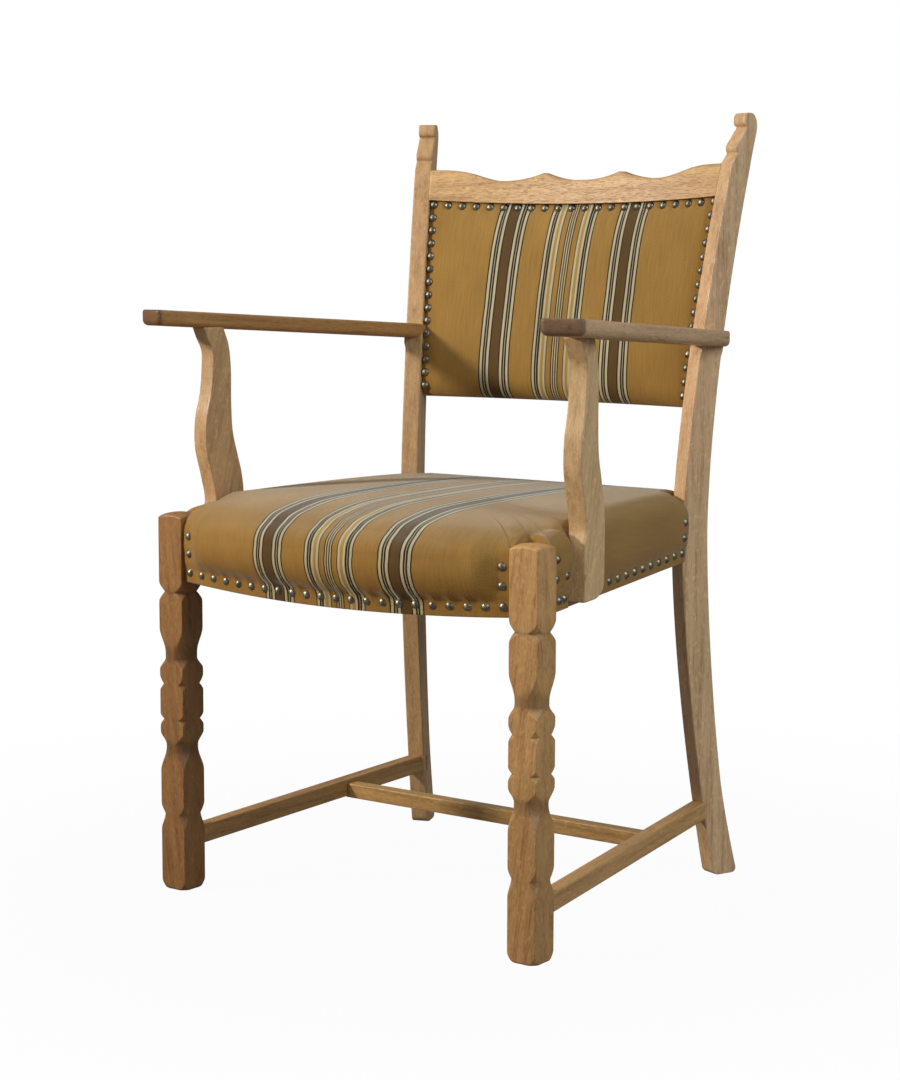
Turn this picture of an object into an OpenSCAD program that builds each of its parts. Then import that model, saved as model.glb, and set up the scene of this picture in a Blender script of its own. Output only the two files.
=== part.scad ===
// Carved oak armchair with an upholstered seat and back.
// The chair stands on z = 0, faces -Y and is symmetric about x = 0.
// Every piece is drawn with y = 0 on the front legs' centre line, and chair_frame() centres it.

/* [Plan] */
// Distance between the centre lines of the front legs
front_spacing = 478; // [466:2:490]
// Distance from the front legs' centre line back to the posts' fronts at seat height
seat_run = 359.5; // [349.5:1:369.5]
// Distance between the middles of the posts' fronts at seat height
rear_spacing = 382.8; // [374.8:1:390.8]

/* [Front legs] */
// Height of the front legs
leg_height = 430; // [420:1:440]
// Width of a front leg's square blocks
leg_size = 34.5; // [33:0.5:36]
// How far the turned arrises stand inside the square's corners
leg_arris = 0.5; // [0.3:0.1:1.5]
// Radius of the domed top
leg_dome = 60; // [45:1:120]
// Height of the square foot block
foot_block = 66; // [60:1:72]
// Height of the square block that holds the seat rails
top_block = 75; // [74:1:80]
// Radius of the turned necks
neck_radius = 17.6; // [16.5:0.1:19]
// Radius at the bottom of the turned grooves
groove_radius = 19.8; // [18:0.1:21]

/* [Back posts] */
// Thickness of the boards that the posts are sawn from
post_thick = 21; // [19:0.5:23]
// Angle that the posts are turned outwards
post_turn = 21.25; // [17:0.25:24]
// Depth of a post at seat height
post_depth = 37; // [34:0.5:40]
// Depth of a post at its top
post_top_depth = 27.6; // [26:0.2:30]
// Depth of a post above its foot
post_foot_depth = 29.5; // [27:0.5:32]
// How much deeper the foot is on the floor
foot_flare = 6; // [2:0.5:8]
// Height at which the posts stand furthest forward
knee_height = 400; // [390:1:410]
// How far the posts lean back from the knee to the top
back_rake = 76.3; // [60:0.5:84]
// How far the feet kick back from the knee to the floor
foot_rake = 52.9; // [40:0.5:60]
// Height of the carved finial above the crest rail
finial_high = 56; // [50:1:62]

/* [Crest rail] */
// Height of the crest rail's top at the posts
crest_top = 820; // [800:1:840]
// Height of the crest rail at the posts
crest_high = 37; // [34:0.5:42]
// Thickness of the crest rail
crest_thick = 18; // [15:0.5:20]
// How far the crest rail bows back at its middle
crest_bow = 25.5; // [15:0.5:32]
// Distance from the middle to the scallops' points
cusp_reach = 51; // [44:1:58]
// How far the points lie under the rail's top
cusp_drop = 6; // [3:0.5:8]
// How far the scallops dip under the rail's top
scallop_drop = 14.5; // [9:0.5:17]
// How far the lower edge hangs at the middle
crest_sag = 6; // [0:0.5:8]

/* [Seat frame] */
// Height of the side and back rails
rail_high = 58; // [54:0.5:60]
// Thickness of the rails
rail_thick = 22; // [19:0.5:24]
// How far the side rails' tops lie under the legs' tops
rail_drop = 16; // [14:0.5:18]
// How far the side rails' faces stand outside the legs' centre lines
rail_set = 7; // [4:0.5:9]
// How far the side rails' faces stand outside the posts
rail_over = 1.9; // [1.9:0.1:3]
// Upward slope of the seat frame towards the back, in degrees
seat_tilt = 2.67; // [1:0.01:3]
// How far the front rail's ends stand in front of the legs' centre line
front_set = 9.5; // [8:0.5:11]
// How far the front rail bows forward at its middle
front_bow = 19.5; // [10:0.5:24]
// How far the front rail's lower edge hangs at its middle
front_sag = 7; // [0:0.5:9]
// How far the back rail's face lies behind the posts' fronts
rear_set = 10.5; // [9:0.5:11]
// Height of the corner blocks
block_high = 34; // [30:1:38]
// Reach of the corner blocks along the rails
block_reach = 48; // [42:1:54]

/* [Joints] */
// Thickness of the seat rails' tenons
tenon_thick = 8; // [6:0.5:9]
// Height of the seat rails' tenons
tenon_high = 20; // [16:1:21]
// Depth of the tenons in the legs
leg_tenon = 16; // [12:0.5:18]
// Depth of the tenons in the posts
post_tenon = 11; // [9:0.5:13]
// Gap round a tenon in its mortise
fit_gap = 0.15; // [0.1:0.05:0.3]
// Diameter of the arms' dowels
dowel_size = 8; // [6:0.5:9]
// Diameter of a screw's shank
screw_size = 4; // [3.5:0.5:5]

/* [Arms] */
// Height of the armrest's top above its front end
arm_height = 654; // [640:1:668]
// Width of an armrest
arm_wide = 44.3; // [42:0.1:46]
// Thickness of an armrest
arm_thick = 17.7; // [16:0.1:20]
// Downward slope of the armrests towards the back, in degrees
arm_drop = 3.2; // [2:0.1:4]
// How far the armrests' inner edges stand outside the legs' centre lines
arm_set = 14.8; // [12:0.2:17]
// How far the armrests reach in front of the legs' centre line
arm_front = 16; // [10:1:20]
// Angle of the armrests' front ends
arm_skew = 14.1; // [8:0.1:18]
// How far an armrest laps over the post's outer face
arm_lap = 12; // [8:0.5:14]
// Thickness of an arm support
support_thick = 21.5; // [19:0.5:23]
// Distance of an arm support's foot from the front legs' centre line
support_front = 59.5; // [54:0.5:64]
// Width of an arm support's foot
support_wide = 45.5; // [42:0.5:48]

/* [Stretchers] */
// Height of the side stretchers' lower edges at the front legs
stretcher_low = 45.5; // [44:0.5:47]
// Height of the side stretchers
stretcher_high = 20.8; // [19:0.2:22]
// Thickness of the side stretchers
stretcher_thick = 17; // [15:0.5:18]
// Upward slope of the side stretchers towards the back, in degrees
stretcher_tilt = 3.43; // [2.5:0.05:3.6]
// Distance from the front legs' centre line to the cross stretcher
cross_run = 262; // [240:1:280]
// Height of the cross stretcher
cross_high = 17.5; // [15:0.5:18.5]
// Depth of the cross stretcher from front to back
cross_deep = 17; // [15:0.5:20]

/* [Upholstery] */
// Thickness of the covers
cover_thick = 1.5; // [1:0.1:2]
// How far the seat's front edge swells in front of its rail
seat_puff = 18.5; // [12:0.5:20]
// Height of the stuffing's edge above the seat frame
seat_rise = 32; // [26:1:38]
// How much higher the crown of the seat is than its edge
seat_crown = 8; // [4:0.5:12]
// Radius of the seat's upper edge
seat_roll = 27; // [18:1:30]
// Height of the back panel's lower edge
panel_low = 543.5; // [525:0.5:560]
// How far the back cover's edges lie behind the posts' fronts
panel_set = 5; // [4:0.5:6]
// How far the stuffing of the back swells forward
panel_puff = 13; // [6:0.5:16]
// Height over which the back cover rolls under at its lower edge
panel_roll = 25; // [18:1:30]
// Thickness of the back frame's pieces
panel_frame = 12; // [11:0.5:14]
// Width of the back frame's pieces
panel_stile = 18; // [15:0.5:22]
// Width of a webbing strap
strap_wide = 48; // [40:1:52]
// Diameter of an upholstery nail's head
nail_size = 9.5; // [8.5:0.1:11]
// Spacing of the upholstery nails
nail_pitch = 19.6; // [17:0.1:22]

/* [Hidden] */
$fn = 32;

oak = "#b98a55";
oak_dark = "#9c6f40";
beech = "#c9a878";
gold_cloth = "#a9843a";
cotton = "#d8cfba";
jute = "#a58d5f";
bronze = "#5a4f3a";
steel = "#8d8f92";

far = 1000;
front_x = front_spacing / 2;
leg_half = leg_size / 2;
leg_in = front_x - leg_half;
post_half = post_thick / 2;
post_x = rear_spacing / 2;
post_top = crest_top + finial_high;

// Points along a line from a to b in n equal steps
function steps(a, b, n) = [for (i = [0 : n]) a + (b - a) * i / n];
// Rise of a shallow arc over a span of 2 * half
function bow(x, half, rise) = rise * (1 - pow(x / half, 2));
// Points of a quadratic curve from a to b that leans towards c
function curve(a, c, b, n = 5) =
    [for (t = steps(0, 1, n)) a * pow(1 - t, 2) + c * 2 * t * (1 - t) + b * pow(t, 2)];
// Point on a smooth curve through p1 and p2, with p0 and p3 as their neighbours
function between(p0, p1, p2, p3, t) = 0.5 * (2 * p1 + (p2 - p0) * t
    + (2 * p0 - 5 * p1 + 4 * p2 - p3) * pow(t, 2) + (3 * p1 - p0 - 3 * p2 + p3) * pow(t, 3));
// Smooth curve through a list of points, n steps to each stretch
function smooth(p, n = 4) = [for (i = [0 : len(p) - 2]) for (s = [0 : n - 1])
    between(p[max(i - 1, 0)], p[i], p[i + 1], p[min(i + 2, len(p) - 1)], s / n), p[len(p) - 1]];
function backwards(p) = [for (i = [len(p) - 1 : -1 : 0]) p[i]];

// Box between two corners, grown by a gap on every side
module block(low, high, gap = 0) {
    translate(low - [gap, gap, gap]) cube(high - low + 2 * [gap, gap, gap]);
}
// Outline in the YZ plane, carried along X from a to b
module across(a, b) {
    translate([a, 0, 0]) rotate([90, 0, 90]) linear_extrude(b - a) children();
}
module on_side(side) {
    if (side < 0) mirror([1, 0, 0]) children();
    else children();
}
module both_sides() {
    for (side = [-1, 1]) on_side(side) children();
}

// Back posts: u runs back along the board from its front at knee height, h runs outwards
function post_front(z) = z > knee_height
    ? back_rake * pow((z - knee_height) / (post_top - knee_height), 1.5)
    : foot_rake * pow((knee_height - z) / knee_height, 1.6);
function flare(z) = z < foot_flare_top ? foot_flare * pow(1 - z / foot_flare_top, 1.3) : 0;
function post_deep(z) = z > knee_height
    ? post_depth - (post_depth - post_top_depth) * sin(90 * (z - knee_height) / (post_top - knee_height))
    : post_depth - (post_depth - post_foot_depth) * (1 - cos(180 * (knee_height - z) / knee_height)) / 2
        + flare(z);
function post_back(z) = post_front(z) + post_deep(z);
function post_point(u, h) = [post_x + u * sin(post_turn) + h * cos(post_turn),
    post_y + u * cos(post_turn) - h * sin(post_turn)];
foot_flare_top = 110;
foot_round = 7;
post_y = seat_run;
post_levels = concat(steps(foot_round, knee_height, 12), steps(knee_height + 21, crest_top, 15));
// Carved finial from the crest rail's top, drawn 56 high: lower slope, small roll, ogee and top roll
finial_curl = post_front(crest_top);
finial_drawn = 56;
finial_scale = finial_high / finial_drawn;
finial_front = [for (p = concat([[0, 0]], curve([8, 11], [3.6, 16], [7.5, 21.3]),
    curve([21.5, 40.7], [16, 41.5], [16.8, 48]), curve([16.8, 48], [17, 54.5], [20.5, 56])))
    [finial_curl + p[0], crest_top + p[1] * finial_scale]];
finial_back = [for (p = curve([28.2, 56], [35, 55], [36.5, 42.2])) [finial_curl + p[0],
    crest_top + p[1] * finial_scale]];
module post_outline() {
    front = [for (z = post_levels) [post_front(z), z]];
    back = [for (z = post_levels) [post_back(z), z]];
    toe = curve([post_front(0) + foot_round, 0], [post_front(0), 0], front[0]);
    heel = curve(back[0], [post_back(0), 0], [post_back(0) - foot_round, 0]);
    polygon(concat(toe, front, finial_front, finial_back, backwards(back), heel));
}
module at_post() {
    translate([post_x, post_y, 0]) rotate([0, 0, -post_turn]) children();
}
module post_blank() {
    at_post() {
        across(-post_half, post_half) post_outline();
        intersection() {
            across(0, post_half + arm_ledge) post_outline();
            block([0, -far, arm_under_post - arm_ledge_high], [far, far, arm_under_post]);
        }
    }
}
// All of the space behind the posts' fronts
module behind_post_front() {
    front = [for (z = concat([0], post_levels)) [post_front(z), z]];
    at_post() across(-far, far) polygon(concat(front, [[far, crest_top], [far, 0]]));
}
// All of the space outside the posts' inner faces
module beyond_post_side() {
    at_post() block([-post_half, -far, 0], [far, far, far]);
}

// Front legs: square blocks with a turned stretch between them. A shoulder runs from its low
// height and radius to the height where it is full, both in parts of the turned stretch.
leg_full = leg_half * sqrt(2) - leg_arris;
turned_low = foot_block;
turned_high = leg_height - top_block;
shoulders = [[0.071, groove_radius, 0, 1], [0.071, groove_radius, 0.125, 0],
    [0.336, neck_radius, 0.232, 1], [0.343, neck_radius, 0.405, 1],
    [0.446, groove_radius, 0.415, 0], [0.446, groove_radius, 0.478, 0],
    [0.585, groove_radius, 0.554, 0], [0.585, groove_radius, 0.63, 0],
    [0.689, neck_radius, 0.64, 1], [0.706, neck_radius, 0.82, 1],
    [0.948, neck_radius, 0.903, 0], [0.948, neck_radius, 1, 0]];
function turned_z(part) = turned_low + (turned_high - turned_low) * part;
// A neck leaves its low point softly, and a groove leaves it sharply
function swell(t, soft) = soft == 1 ? (1 - cos(180 * t)) / 2 : sin(90 * t);
function shoulder_points(s) = let (points = [for (t = steps(0, 1, 5))
    [s[1] + (leg_full - s[1]) * swell(t, s[3]), turned_z(s[0] + (s[2] - s[0]) * t)]])
    s[2] < s[0] ? backwards(points) : points;
leg_foot_radius = 19.5;
leg_foot_high = 13;
foot_rim = [for (t = steps(0, 1, 4)) [leg_foot_radius + (leg_full - leg_foot_radius) * sin(90 * t),
    leg_foot_high * t]];
module leg_blank() {
    profile = concat([[0, 0]], foot_rim, [for (s = shoulders) each shoulder_points(s)],
        [[leg_full, leg_height], [0, leg_height]]);
    translate([front_x, 0, 0]) intersection() {
        block([-leg_half, -leg_half, 0], [leg_half, leg_half, leg_height]);
        rotate_extrude($fn = 64) polygon(profile);
        union() {
            translate([0, 0, leg_height - leg_dome]) sphere(leg_dome, $fn = 96);
            cylinder(h = leg_height - leg_dome, r = leg_dome, $fn = 96);
        }
    }
}

// Seat rails lie in one tilted slab, level from side to side
rail_low = leg_height - rail_drop - rail_high;
rail_top = rail_low + rail_high;
front_rail_lift = 2;
rail_start = [front_x + rail_set, leg_half];
rail_end = post_point(0, post_half) + [rail_over, 0];
rail_turn = atan((rail_start[0] - rail_end[0]) / (rail_end[1] - rail_start[1]));
rail_run = norm(rail_end - rail_start);
rear_rail_y = post_y + rear_set;
function slab_z(y) = (y - leg_half) * tan(seat_tilt);
module at_side_rail() {
    translate([rail_start[0], rail_start[1], 0]) rotate([0, 0, rail_turn]) children();
}
module seat_slab(low, high) {
    translate([0, leg_half, rail_low]) rotate([seat_tilt, 0, 0])
        block([-far, -far, low], [far, far, high]);
}
module side_rail_body() {
    difference() {
        intersection() {
            at_side_rail() block([-rail_thick, -rail_thick, 0], [0, rail_run + rail_thick, far]);
            seat_slab(0, rail_high);
            block([0, leg_half, 0], [far, far, far]);
        }
        behind_post_front();
    }
}
module side_rail_leg_tenon(gap = 0) {
    x = rail_start[0] - rail_thick / 2;
    block([x - tenon_thick / 2, leg_half - leg_tenon, rail_low + tenon_edge],
        [x + tenon_thick / 2, leg_half + tenon_root, rail_low + tenon_edge + tenon_high], gap);
}
module side_rail_post_tenon(gap = 0) {
    low = rail_low + slab_z(post_y) + tenon_edge;
    at_post() block([-tenon_thick / 2, -tenon_root, low],
        [tenon_thick / 2, post_rail_tenon, low + tenon_high], gap);
}
tenon_edge = 5;
tenon_root = 3;
post_rail_tenon = 18;
module side_rail() {
    difference() {
        union() {
            side_rail_body();
            side_rail_leg_tenon();
            side_rail_post_tenon();
        }
        side_nail_spots() nail_hole(seat_nail_long);
        support_screw_spots() screw_hole(support_screw_long);
        corner_screw_spots() screw_hole(corner_screw_long);
    }
}

module front_rail_body() {
    xs = steps(-leg_in, leg_in, front_points);
    outer = [for (x = xs) [x, -front_set - bow(x, leg_in, front_bow)]];
    inner = [for (p = outer) p + [0, rail_thick]];
    lower = [for (x = xs) [x, rail_low - front_rail_lift - bow(x, leg_in, front_sag)]];
    intersection() {
        linear_extrude(far) polygon(concat(outer, backwards(inner)));
        rotate([90, 0, 0]) linear_extrude(far, center = true)
            polygon(concat(lower, [[leg_in, far], [-leg_in, far]]));
        seat_slab(-far / 2, rail_high);
    }
}
module front_rail_tenon(gap = 0) {
    y = rail_thick / 2 - front_set;
    high = rail_top - tenon_edge - front_rail_lift;
    block([leg_in - tenon_root, y - tenon_thick / 2, high - tenon_high],
        [leg_in + leg_tenon, y + tenon_thick / 2, high], gap);
}
module rear_rail_body() {
    difference() {
        intersection() {
            block([-post_x, rear_rail_y, 0], [post_x, rear_rail_y + rail_thick, far]);
            seat_slab(0, rail_high);
        }
        both_sides() beyond_post_side();
    }
}
module rear_rail_tenon(gap = 0) {
    high = rail_top + slab_z(rear_rail_y) - tenon_edge;
    u = (rear_set + rail_thick / 2) / cos(post_turn) - post_half * sin(post_turn);
    at_post() block([-post_half - tenon_root, u - tenon_thick / 2, high - tenon_high],
        [-post_half + post_tenon, u + tenon_thick / 2, high], gap);
}

// Corner blocks fill the corners behind the legs and in front of the back rail
block_rise = 10;
block_low = rail_low + block_rise;
module front_corner_block() {
    y = rail_thick / 2 - front_set;
    difference() {
        translate([0, 0, block_low]) linear_extrude(block_high) polygon([
            [leg_in - block_reach, y - tenon_thick], [leg_in + tenon_thick, y - tenon_thick],
            [leg_in + tenon_thick, leg_half + block_reach],
            [leg_in - tenon_thick, leg_half + block_reach], [leg_in - block_reach, y + rail_thick]]);
        front_rail_body();
        side_rail_body();
        block([leg_in, -leg_half, 0], [front_x + leg_half, leg_half, far]);
        corner_screw_spots() screw_hole(corner_screw_long);
    }
}
module rear_corner_block() {
    x = post_x - post_half;
    difference() {
        translate([0, 0, block_low + slab_z(post_y - block_reach)]) linear_extrude(block_high) polygon([
            [x + tenon_thick, post_y - block_reach], [x + tenon_thick, rear_rail_y + tenon_thick],
            [x - block_reach, rear_rail_y + tenon_thick], [x - block_reach, post_y - tenon_thick],
            [x, post_y - block_reach]]);
        rear_rail_body();
        side_rail_body();
        at_post() block([-post_half - fit_gap, -fit_gap, 0], [far, far, far]);
        corner_screw_spots() screw_hole(corner_screw_long);
    }
}
corner_screw_long = 26;
// Screws through the corner blocks: two run into the side rail, and one each into the others
module corner_screw_spots() {
    front_z = block_low + block_high / 2;
    rear_z = front_z + slab_z(post_y - block_reach);
    deep = -rail_thick - screw_bite;
    at_side_rail() {
        translate([deep, block_reach - screw_edge, front_z + screw_size]) rotate([0, 90, 0]) children();
        translate([deep, rail_run - block_reach + screw_edge, rear_z + screw_size])
            rotate([0, 90, 0]) children();
    }
    across = block_reach - screw_edge - screw_size;
    translate([leg_in - across, rail_thick - front_set + screw_bite, front_z - screw_size])
        rotate([90, 0, 0]) children();
    translate([post_x - post_half - across, rear_rail_y - screw_bite, rear_z - screw_size])
        rotate([-90, 0, 0]) children();
}
screw_bite = 8;
screw_edge = 22;
// A countersunk wood screw that starts at its head and points along Z
module screw(long) {
    cylinder(h = screw_size / 2, d1 = screw_size * 2, d2 = screw_size);
    translate([0, 0, screw_size / 2]) cylinder(h = long - screw_size, d = screw_size);
    translate([0, 0, long - screw_size / 2]) cylinder(h = screw_size / 2, d1 = screw_size, d2 = 0.8);
}
module screw_hole(long) {
    translate([0, 0, -far / 20]) cylinder(h = far / 20 + screw_size / 2, d = screw_size * 2 + 2 * fit_gap);
    cylinder(h = long + fit_gap, d = screw_size + 2 * fit_gap);
}

// Stretchers
stretcher_set = 11;
stretcher_out = [front_x + stretcher_set, leg_half];
stretcher_back = post_point(post_front(stretcher_low + stretcher_high), post_half);
stretcher_turn = atan((stretcher_out[0] - stretcher_back[0]) / (stretcher_back[1] - stretcher_out[1]));
stretcher_run = norm(stretcher_back - stretcher_out);
function stretcher_z(y) = stretcher_low + (y - leg_half) * tan(stretcher_tilt);
module at_stretcher() {
    translate([stretcher_out[0], stretcher_out[1], 0]) rotate([0, 0, stretcher_turn]) children();
}
module stretcher_body() {
    difference() {
        intersection() {
            at_stretcher() block([-stretcher_thick, -stretcher_thick, 0],
                [0, stretcher_run + stretcher_thick, far]);
            translate([0, leg_half, stretcher_low]) rotate([stretcher_tilt, 0, 0])
                block([0, -far, 0], [far, far, stretcher_high]);
            block([0, leg_half, 0], [far, far, far]);
        }
        behind_post_front();
    }
}
module stretcher_leg_tenon(gap = 0) {
    x = stretcher_out[0] - stretcher_thick / 2;
    low = stretcher_low + small_edge;
    block([x - small_tenon / 2, leg_half - leg_tenon, low],
        [x + small_tenon / 2, leg_half + tenon_root, low + stretcher_high - 2 * small_edge], gap);
}
module stretcher_post_tenon(gap = 0) {
    low = stretcher_z(stretcher_back[1]) + small_edge;
    u = post_front(low);
    at_post() block([-small_tenon / 2, u - tenon_root, low],
        [small_tenon / 2, u + leg_tenon, low + stretcher_high - 2 * small_edge], gap);
}
small_tenon = 7;
small_edge = 4;
cross_sink = 1;
cross_low = stretcher_z(cross_run) - cross_sink;
module cross_body() {
    difference() {
        block([-front_x, cross_run, cross_low], [front_x, cross_run + cross_deep, cross_low + cross_high]);
        both_sides() at_stretcher() block([-stretcher_thick, -far, 0], [far, far, far]);
    }
}
module cross_tenon(gap = 0) {
    y = (cross_run + cross_deep / 2 - leg_half) / cos(stretcher_turn);
    at_stretcher() translate([-stretcher_thick, y, 0])
        block([-tenon_root, -small_tenon / 2, cross_low + small_edge],
            [cross_bite, small_tenon / 2, cross_low + cross_high - small_edge], gap);
}
cross_bite = 10;

// Crest rail: a bowed board that leans with the posts, with a scalloped top
function arris(z) = post_point(post_front(z), -post_half);
crest_low = crest_top - crest_high;
crest_lean = atan((arris(crest_top)[1] - arris(crest_low)[1]) / crest_high);
crest_half = arris(crest_top)[0];
// Height of a point on the rail's top, and x of a part of the way from a cusp to the end
crest_over = 5;
function wing_point(part, drop) =
    [cusp_reach + (crest_half + crest_over - cusp_reach) * part, crest_top - drop];
module crest_body() {
    xs = steps(-crest_half, crest_half, 24);
    face = [for (x = xs) [x, bow(x, crest_half, crest_bow)]];
    back = [for (p = face) p + [0, crest_thick]];
    middle = [for (x = steps(-cusp_reach, cusp_reach, 12))
        [x, crest_top - cusp_drop - bow(x, cusp_reach, scallop_drop - cusp_drop)]];
    wing = smooth([wing_point(0, cusp_drop), wing_point(0.17, scallop_drop * 0.86),
        wing_point(0.33, scallop_drop), wing_point(0.52, scallop_drop * 0.66),
        wing_point(0.71, scallop_drop * 0.17), wing_point(1, 0)]);
    wing_left = [for (p = backwards(wing)) [-p[0], p[1]]];
    lower = [for (x = steps(crest_half, -crest_half, 16)) [x, crest_low - bow(x, crest_half, crest_sag)]];
    difference() {
        intersection() {
            translate([0, arris(crest_low)[1], crest_low]) rotate([-crest_lean, 0, 0])
                translate([0, 0, -crest_high]) linear_extrude(3 * crest_high)
                    polygon(concat(face, backwards(back)));
            rotate([90, 0, 0]) linear_extrude(far, center = true) polygon(concat(wing_left, middle, wing,
                [[crest_half + crest_over, crest_low]], lower, [[-crest_half - crest_over, crest_low]]));
        }
        both_sides() beyond_post_side();
    }
}
module crest_tenon(gap = 0) {
    z = crest_low + crest_high / 2;
    u = post_front(z) + crest_thick / 2;
    at_post() block([-post_half - tenon_root, u - small_tenon / 2, z - tenon_high / 2],
        [-post_half + post_tenon, u + small_tenon / 2, z + tenon_high / 2], gap);
}

// Armrests: straight boards that lean out to the front, lapped round the posts
arm_inner_front = [front_x + arm_set, -arm_front];
arm_lean = 24;
arm_lip = 0.5;
arm_back_z = arm_height - (post_y + arm_lean) * tan(arm_drop) - arm_thick / 2;
arm_inner_back = post_point(post_front(arm_back_z), arm_lip - post_half);
arm_turn = atan((arm_inner_front[0] - arm_inner_back[0]) / (arm_inner_back[1] + arm_front));
arm_under_post = arm_back_z - arm_thick / 2;
arm_ledge = 2;
arm_ledge_high = 9;
arm_nose = 7;
arm_corner = 3;
arm_tip = 8;
arm_chip = 4;
module at_arm() {
    translate([arm_inner_front[0], arm_inner_front[1], 0]) rotate([0, 0, arm_turn]) children();
}
function arm_top(y) = arm_height - y * tan(arm_drop);
// Section of an armrest: small rounds above and larger ones below
module arm_section() {
    top = arm_corner;
    low = arm_nose;
    polygon(concat(curve([0, -top], [0, 0], [top, 0]),
        curve([arm_wide - top, 0], [arm_wide, 0], [arm_wide, -top]),
        curve([arm_wide, low - arm_thick], [arm_wide, -arm_thick], [arm_wide - low, -arm_thick]),
        curve([low, -arm_thick], [0, -arm_thick], [0, low - arm_thick])));
}
module arm_plan() {
    skew = arm_wide * tan(arm_skew);
    turn = [[cos(arm_turn), sin(arm_turn)], [-sin(arm_turn), cos(arm_turn)]];
    back_out = turn * (post_point(post_back(arm_back_z), post_half + arm_lap) - arm_inner_front);
    back_in = turn * (post_point(post_back(arm_back_z) - arm_bite, 0) - arm_inner_front);
    front_in = turn * (post_point(post_front(arm_back_z) + arm_bite, arm_lip - post_half) - arm_inner_front);
    inner_back = turn * (arm_inner_back - arm_inner_front);
    polygon(concat(curve([0, arm_tip], [0, 0], [arm_tip, arm_tip * tan(arm_skew)]),
        curve([arm_wide - arm_chip, skew], [arm_wide, skew], [arm_wide, skew + arm_chip]),
        curve([arm_wide, back_out[1] - arm_tip], [arm_wide, back_out[1]], back_out - [arm_tip, 0], 4),
        [back_in, front_in, inner_back]));
}
arm_bite = 5;
module arm_body() {
    difference() {
        at_arm() intersection() {
            linear_extrude(far) arm_plan();
            translate([0, 0, arm_top(-arm_front)]) rotate([-arm_drop, 0, 0]) translate([0, 2 * seat_run, 0])
                rotate([90, 0, 0]) linear_extrude(3 * seat_run) arm_section();
        }
        post_blank();
    }
}

// Arm supports: sawn boards that stand against the side rails
support_lift = 8;
support_toe = 8;
support_low = rail_low + support_lift;
support_top = arm_top(support_front) - arm_thick;
function support_z(part) = support_low + (support_top - support_low) * part;
module support_body() {
    start = support_front - leg_half;
    front = [for (p = [[0, 0.03], [0, 0.2], [3, 0.28], [-3, 0.38], [-11, 0.5], [-10, 0.62], [-3, 0.72],
        [0, 0.82], [0, 0.9], [-8, 0.96], [-17, 1.04]]) [start + p[0], support_z(p[1])]];
    back = [for (p = [[-33, 1.04], [-27, 0.98], [-21, 0.92], [-18, 0.82], [-18, 0.68], [-16, 0.56],
        [-9, 0.46], [-3, 0.38], [0, 0.28], [0, 0.07]]) [start + support_wide + p[0], support_z(p[1])]];
    foot = curve(back[9], [start + support_wide, support_low], [start + support_toe, support_low]);
    difference() {
        at_side_rail() across(0, support_thick) polygon(concat(smooth(front), smooth(back), foot));
        at_arm() translate([0, 0, arm_top(-arm_front)]) rotate([-arm_drop, 0, 0])
            block([-far, -far, -arm_thick], [far, far, far]);
    }
}
support_screw_long = 34;
support_screw_rise = 14;
support_screw_gap = 26;
module support_screw_spots() {
    at_side_rail() for (rise = [support_screw_rise, support_screw_rise + support_screw_gap])
        translate([-rail_thick, support_front - leg_half + support_wide / 2, support_low + rise])
            rotate([0, 90, 0]) children();
}
// Dowels: one stands in each support's top, and one joins each arm to its post
dowel_long = 22;
dowel_back = 4;
module arm_dowel_spots() {
    y = (support_front + dowel_back - leg_half) / cos(rail_turn);
    at_side_rail() translate([support_thick / 2, y, support_top - dowel_long / 2]) children();
    at_post() translate([0, post_front(arm_back_z) - dowel_long / 2, arm_back_z])
        rotate([-90, 0, 0]) children();
}
module dowel(gap = 0) {
    translate([0, 0, -gap]) cylinder(h = dowel_long + 2 * gap, d = dowel_size + 2 * gap);
}

// Back frame: stiles on the posts' inner faces, and two bowed rails between them
low_bow = 19;
padding_room = 3.5;
frame_rise = 16;
frame_edge = 1;
frame_set = panel_set + cover_thick + padding_room;
panel_top = crest_low - frame_edge;
frame_low = panel_low + frame_rise;
panel_margin = 4.6;
row_pitch = nail_pitch - 0.9;
top_row_z = panel_top - panel_margin;
low_row_z = frame_low + panel_stile / 2;
stile_in = post_half + panel_stile;
stile_levels = steps(frame_low, panel_top - frame_edge, 8);
function frame_point(z) = post_point(post_front(z) + frame_set, -stile_in);
function frame_bow(z) = panel_bow(z) - panel_stile * sin(post_turn);
module stile_body() {
    front = [for (z = stile_levels) [post_front(z) + frame_set, z]];
    back = [for (p = front) p + [panel_frame, 0]];
    at_post() across(-stile_in, -post_half) polygon(concat(front, backwards(back)));
}
// Nails of a row across the back frame, and the rail's facets, which meet halfway between them
function row_xs(z) = let (edge = panel_edge(z, panel_set)[0] - panel_margin)
    steps(-edge, edge, floor(2 * edge / row_pitch));
function facet_xs(half, z) = let (xs = row_xs(z))
    concat([-half], [for (k = [1 : len(xs) - 1]) if (abs(xs[k] + xs[k - 1]) < 2 * half - row_pitch / 2)
        (xs[k] + xs[k - 1]) / 2], [half]);
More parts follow.
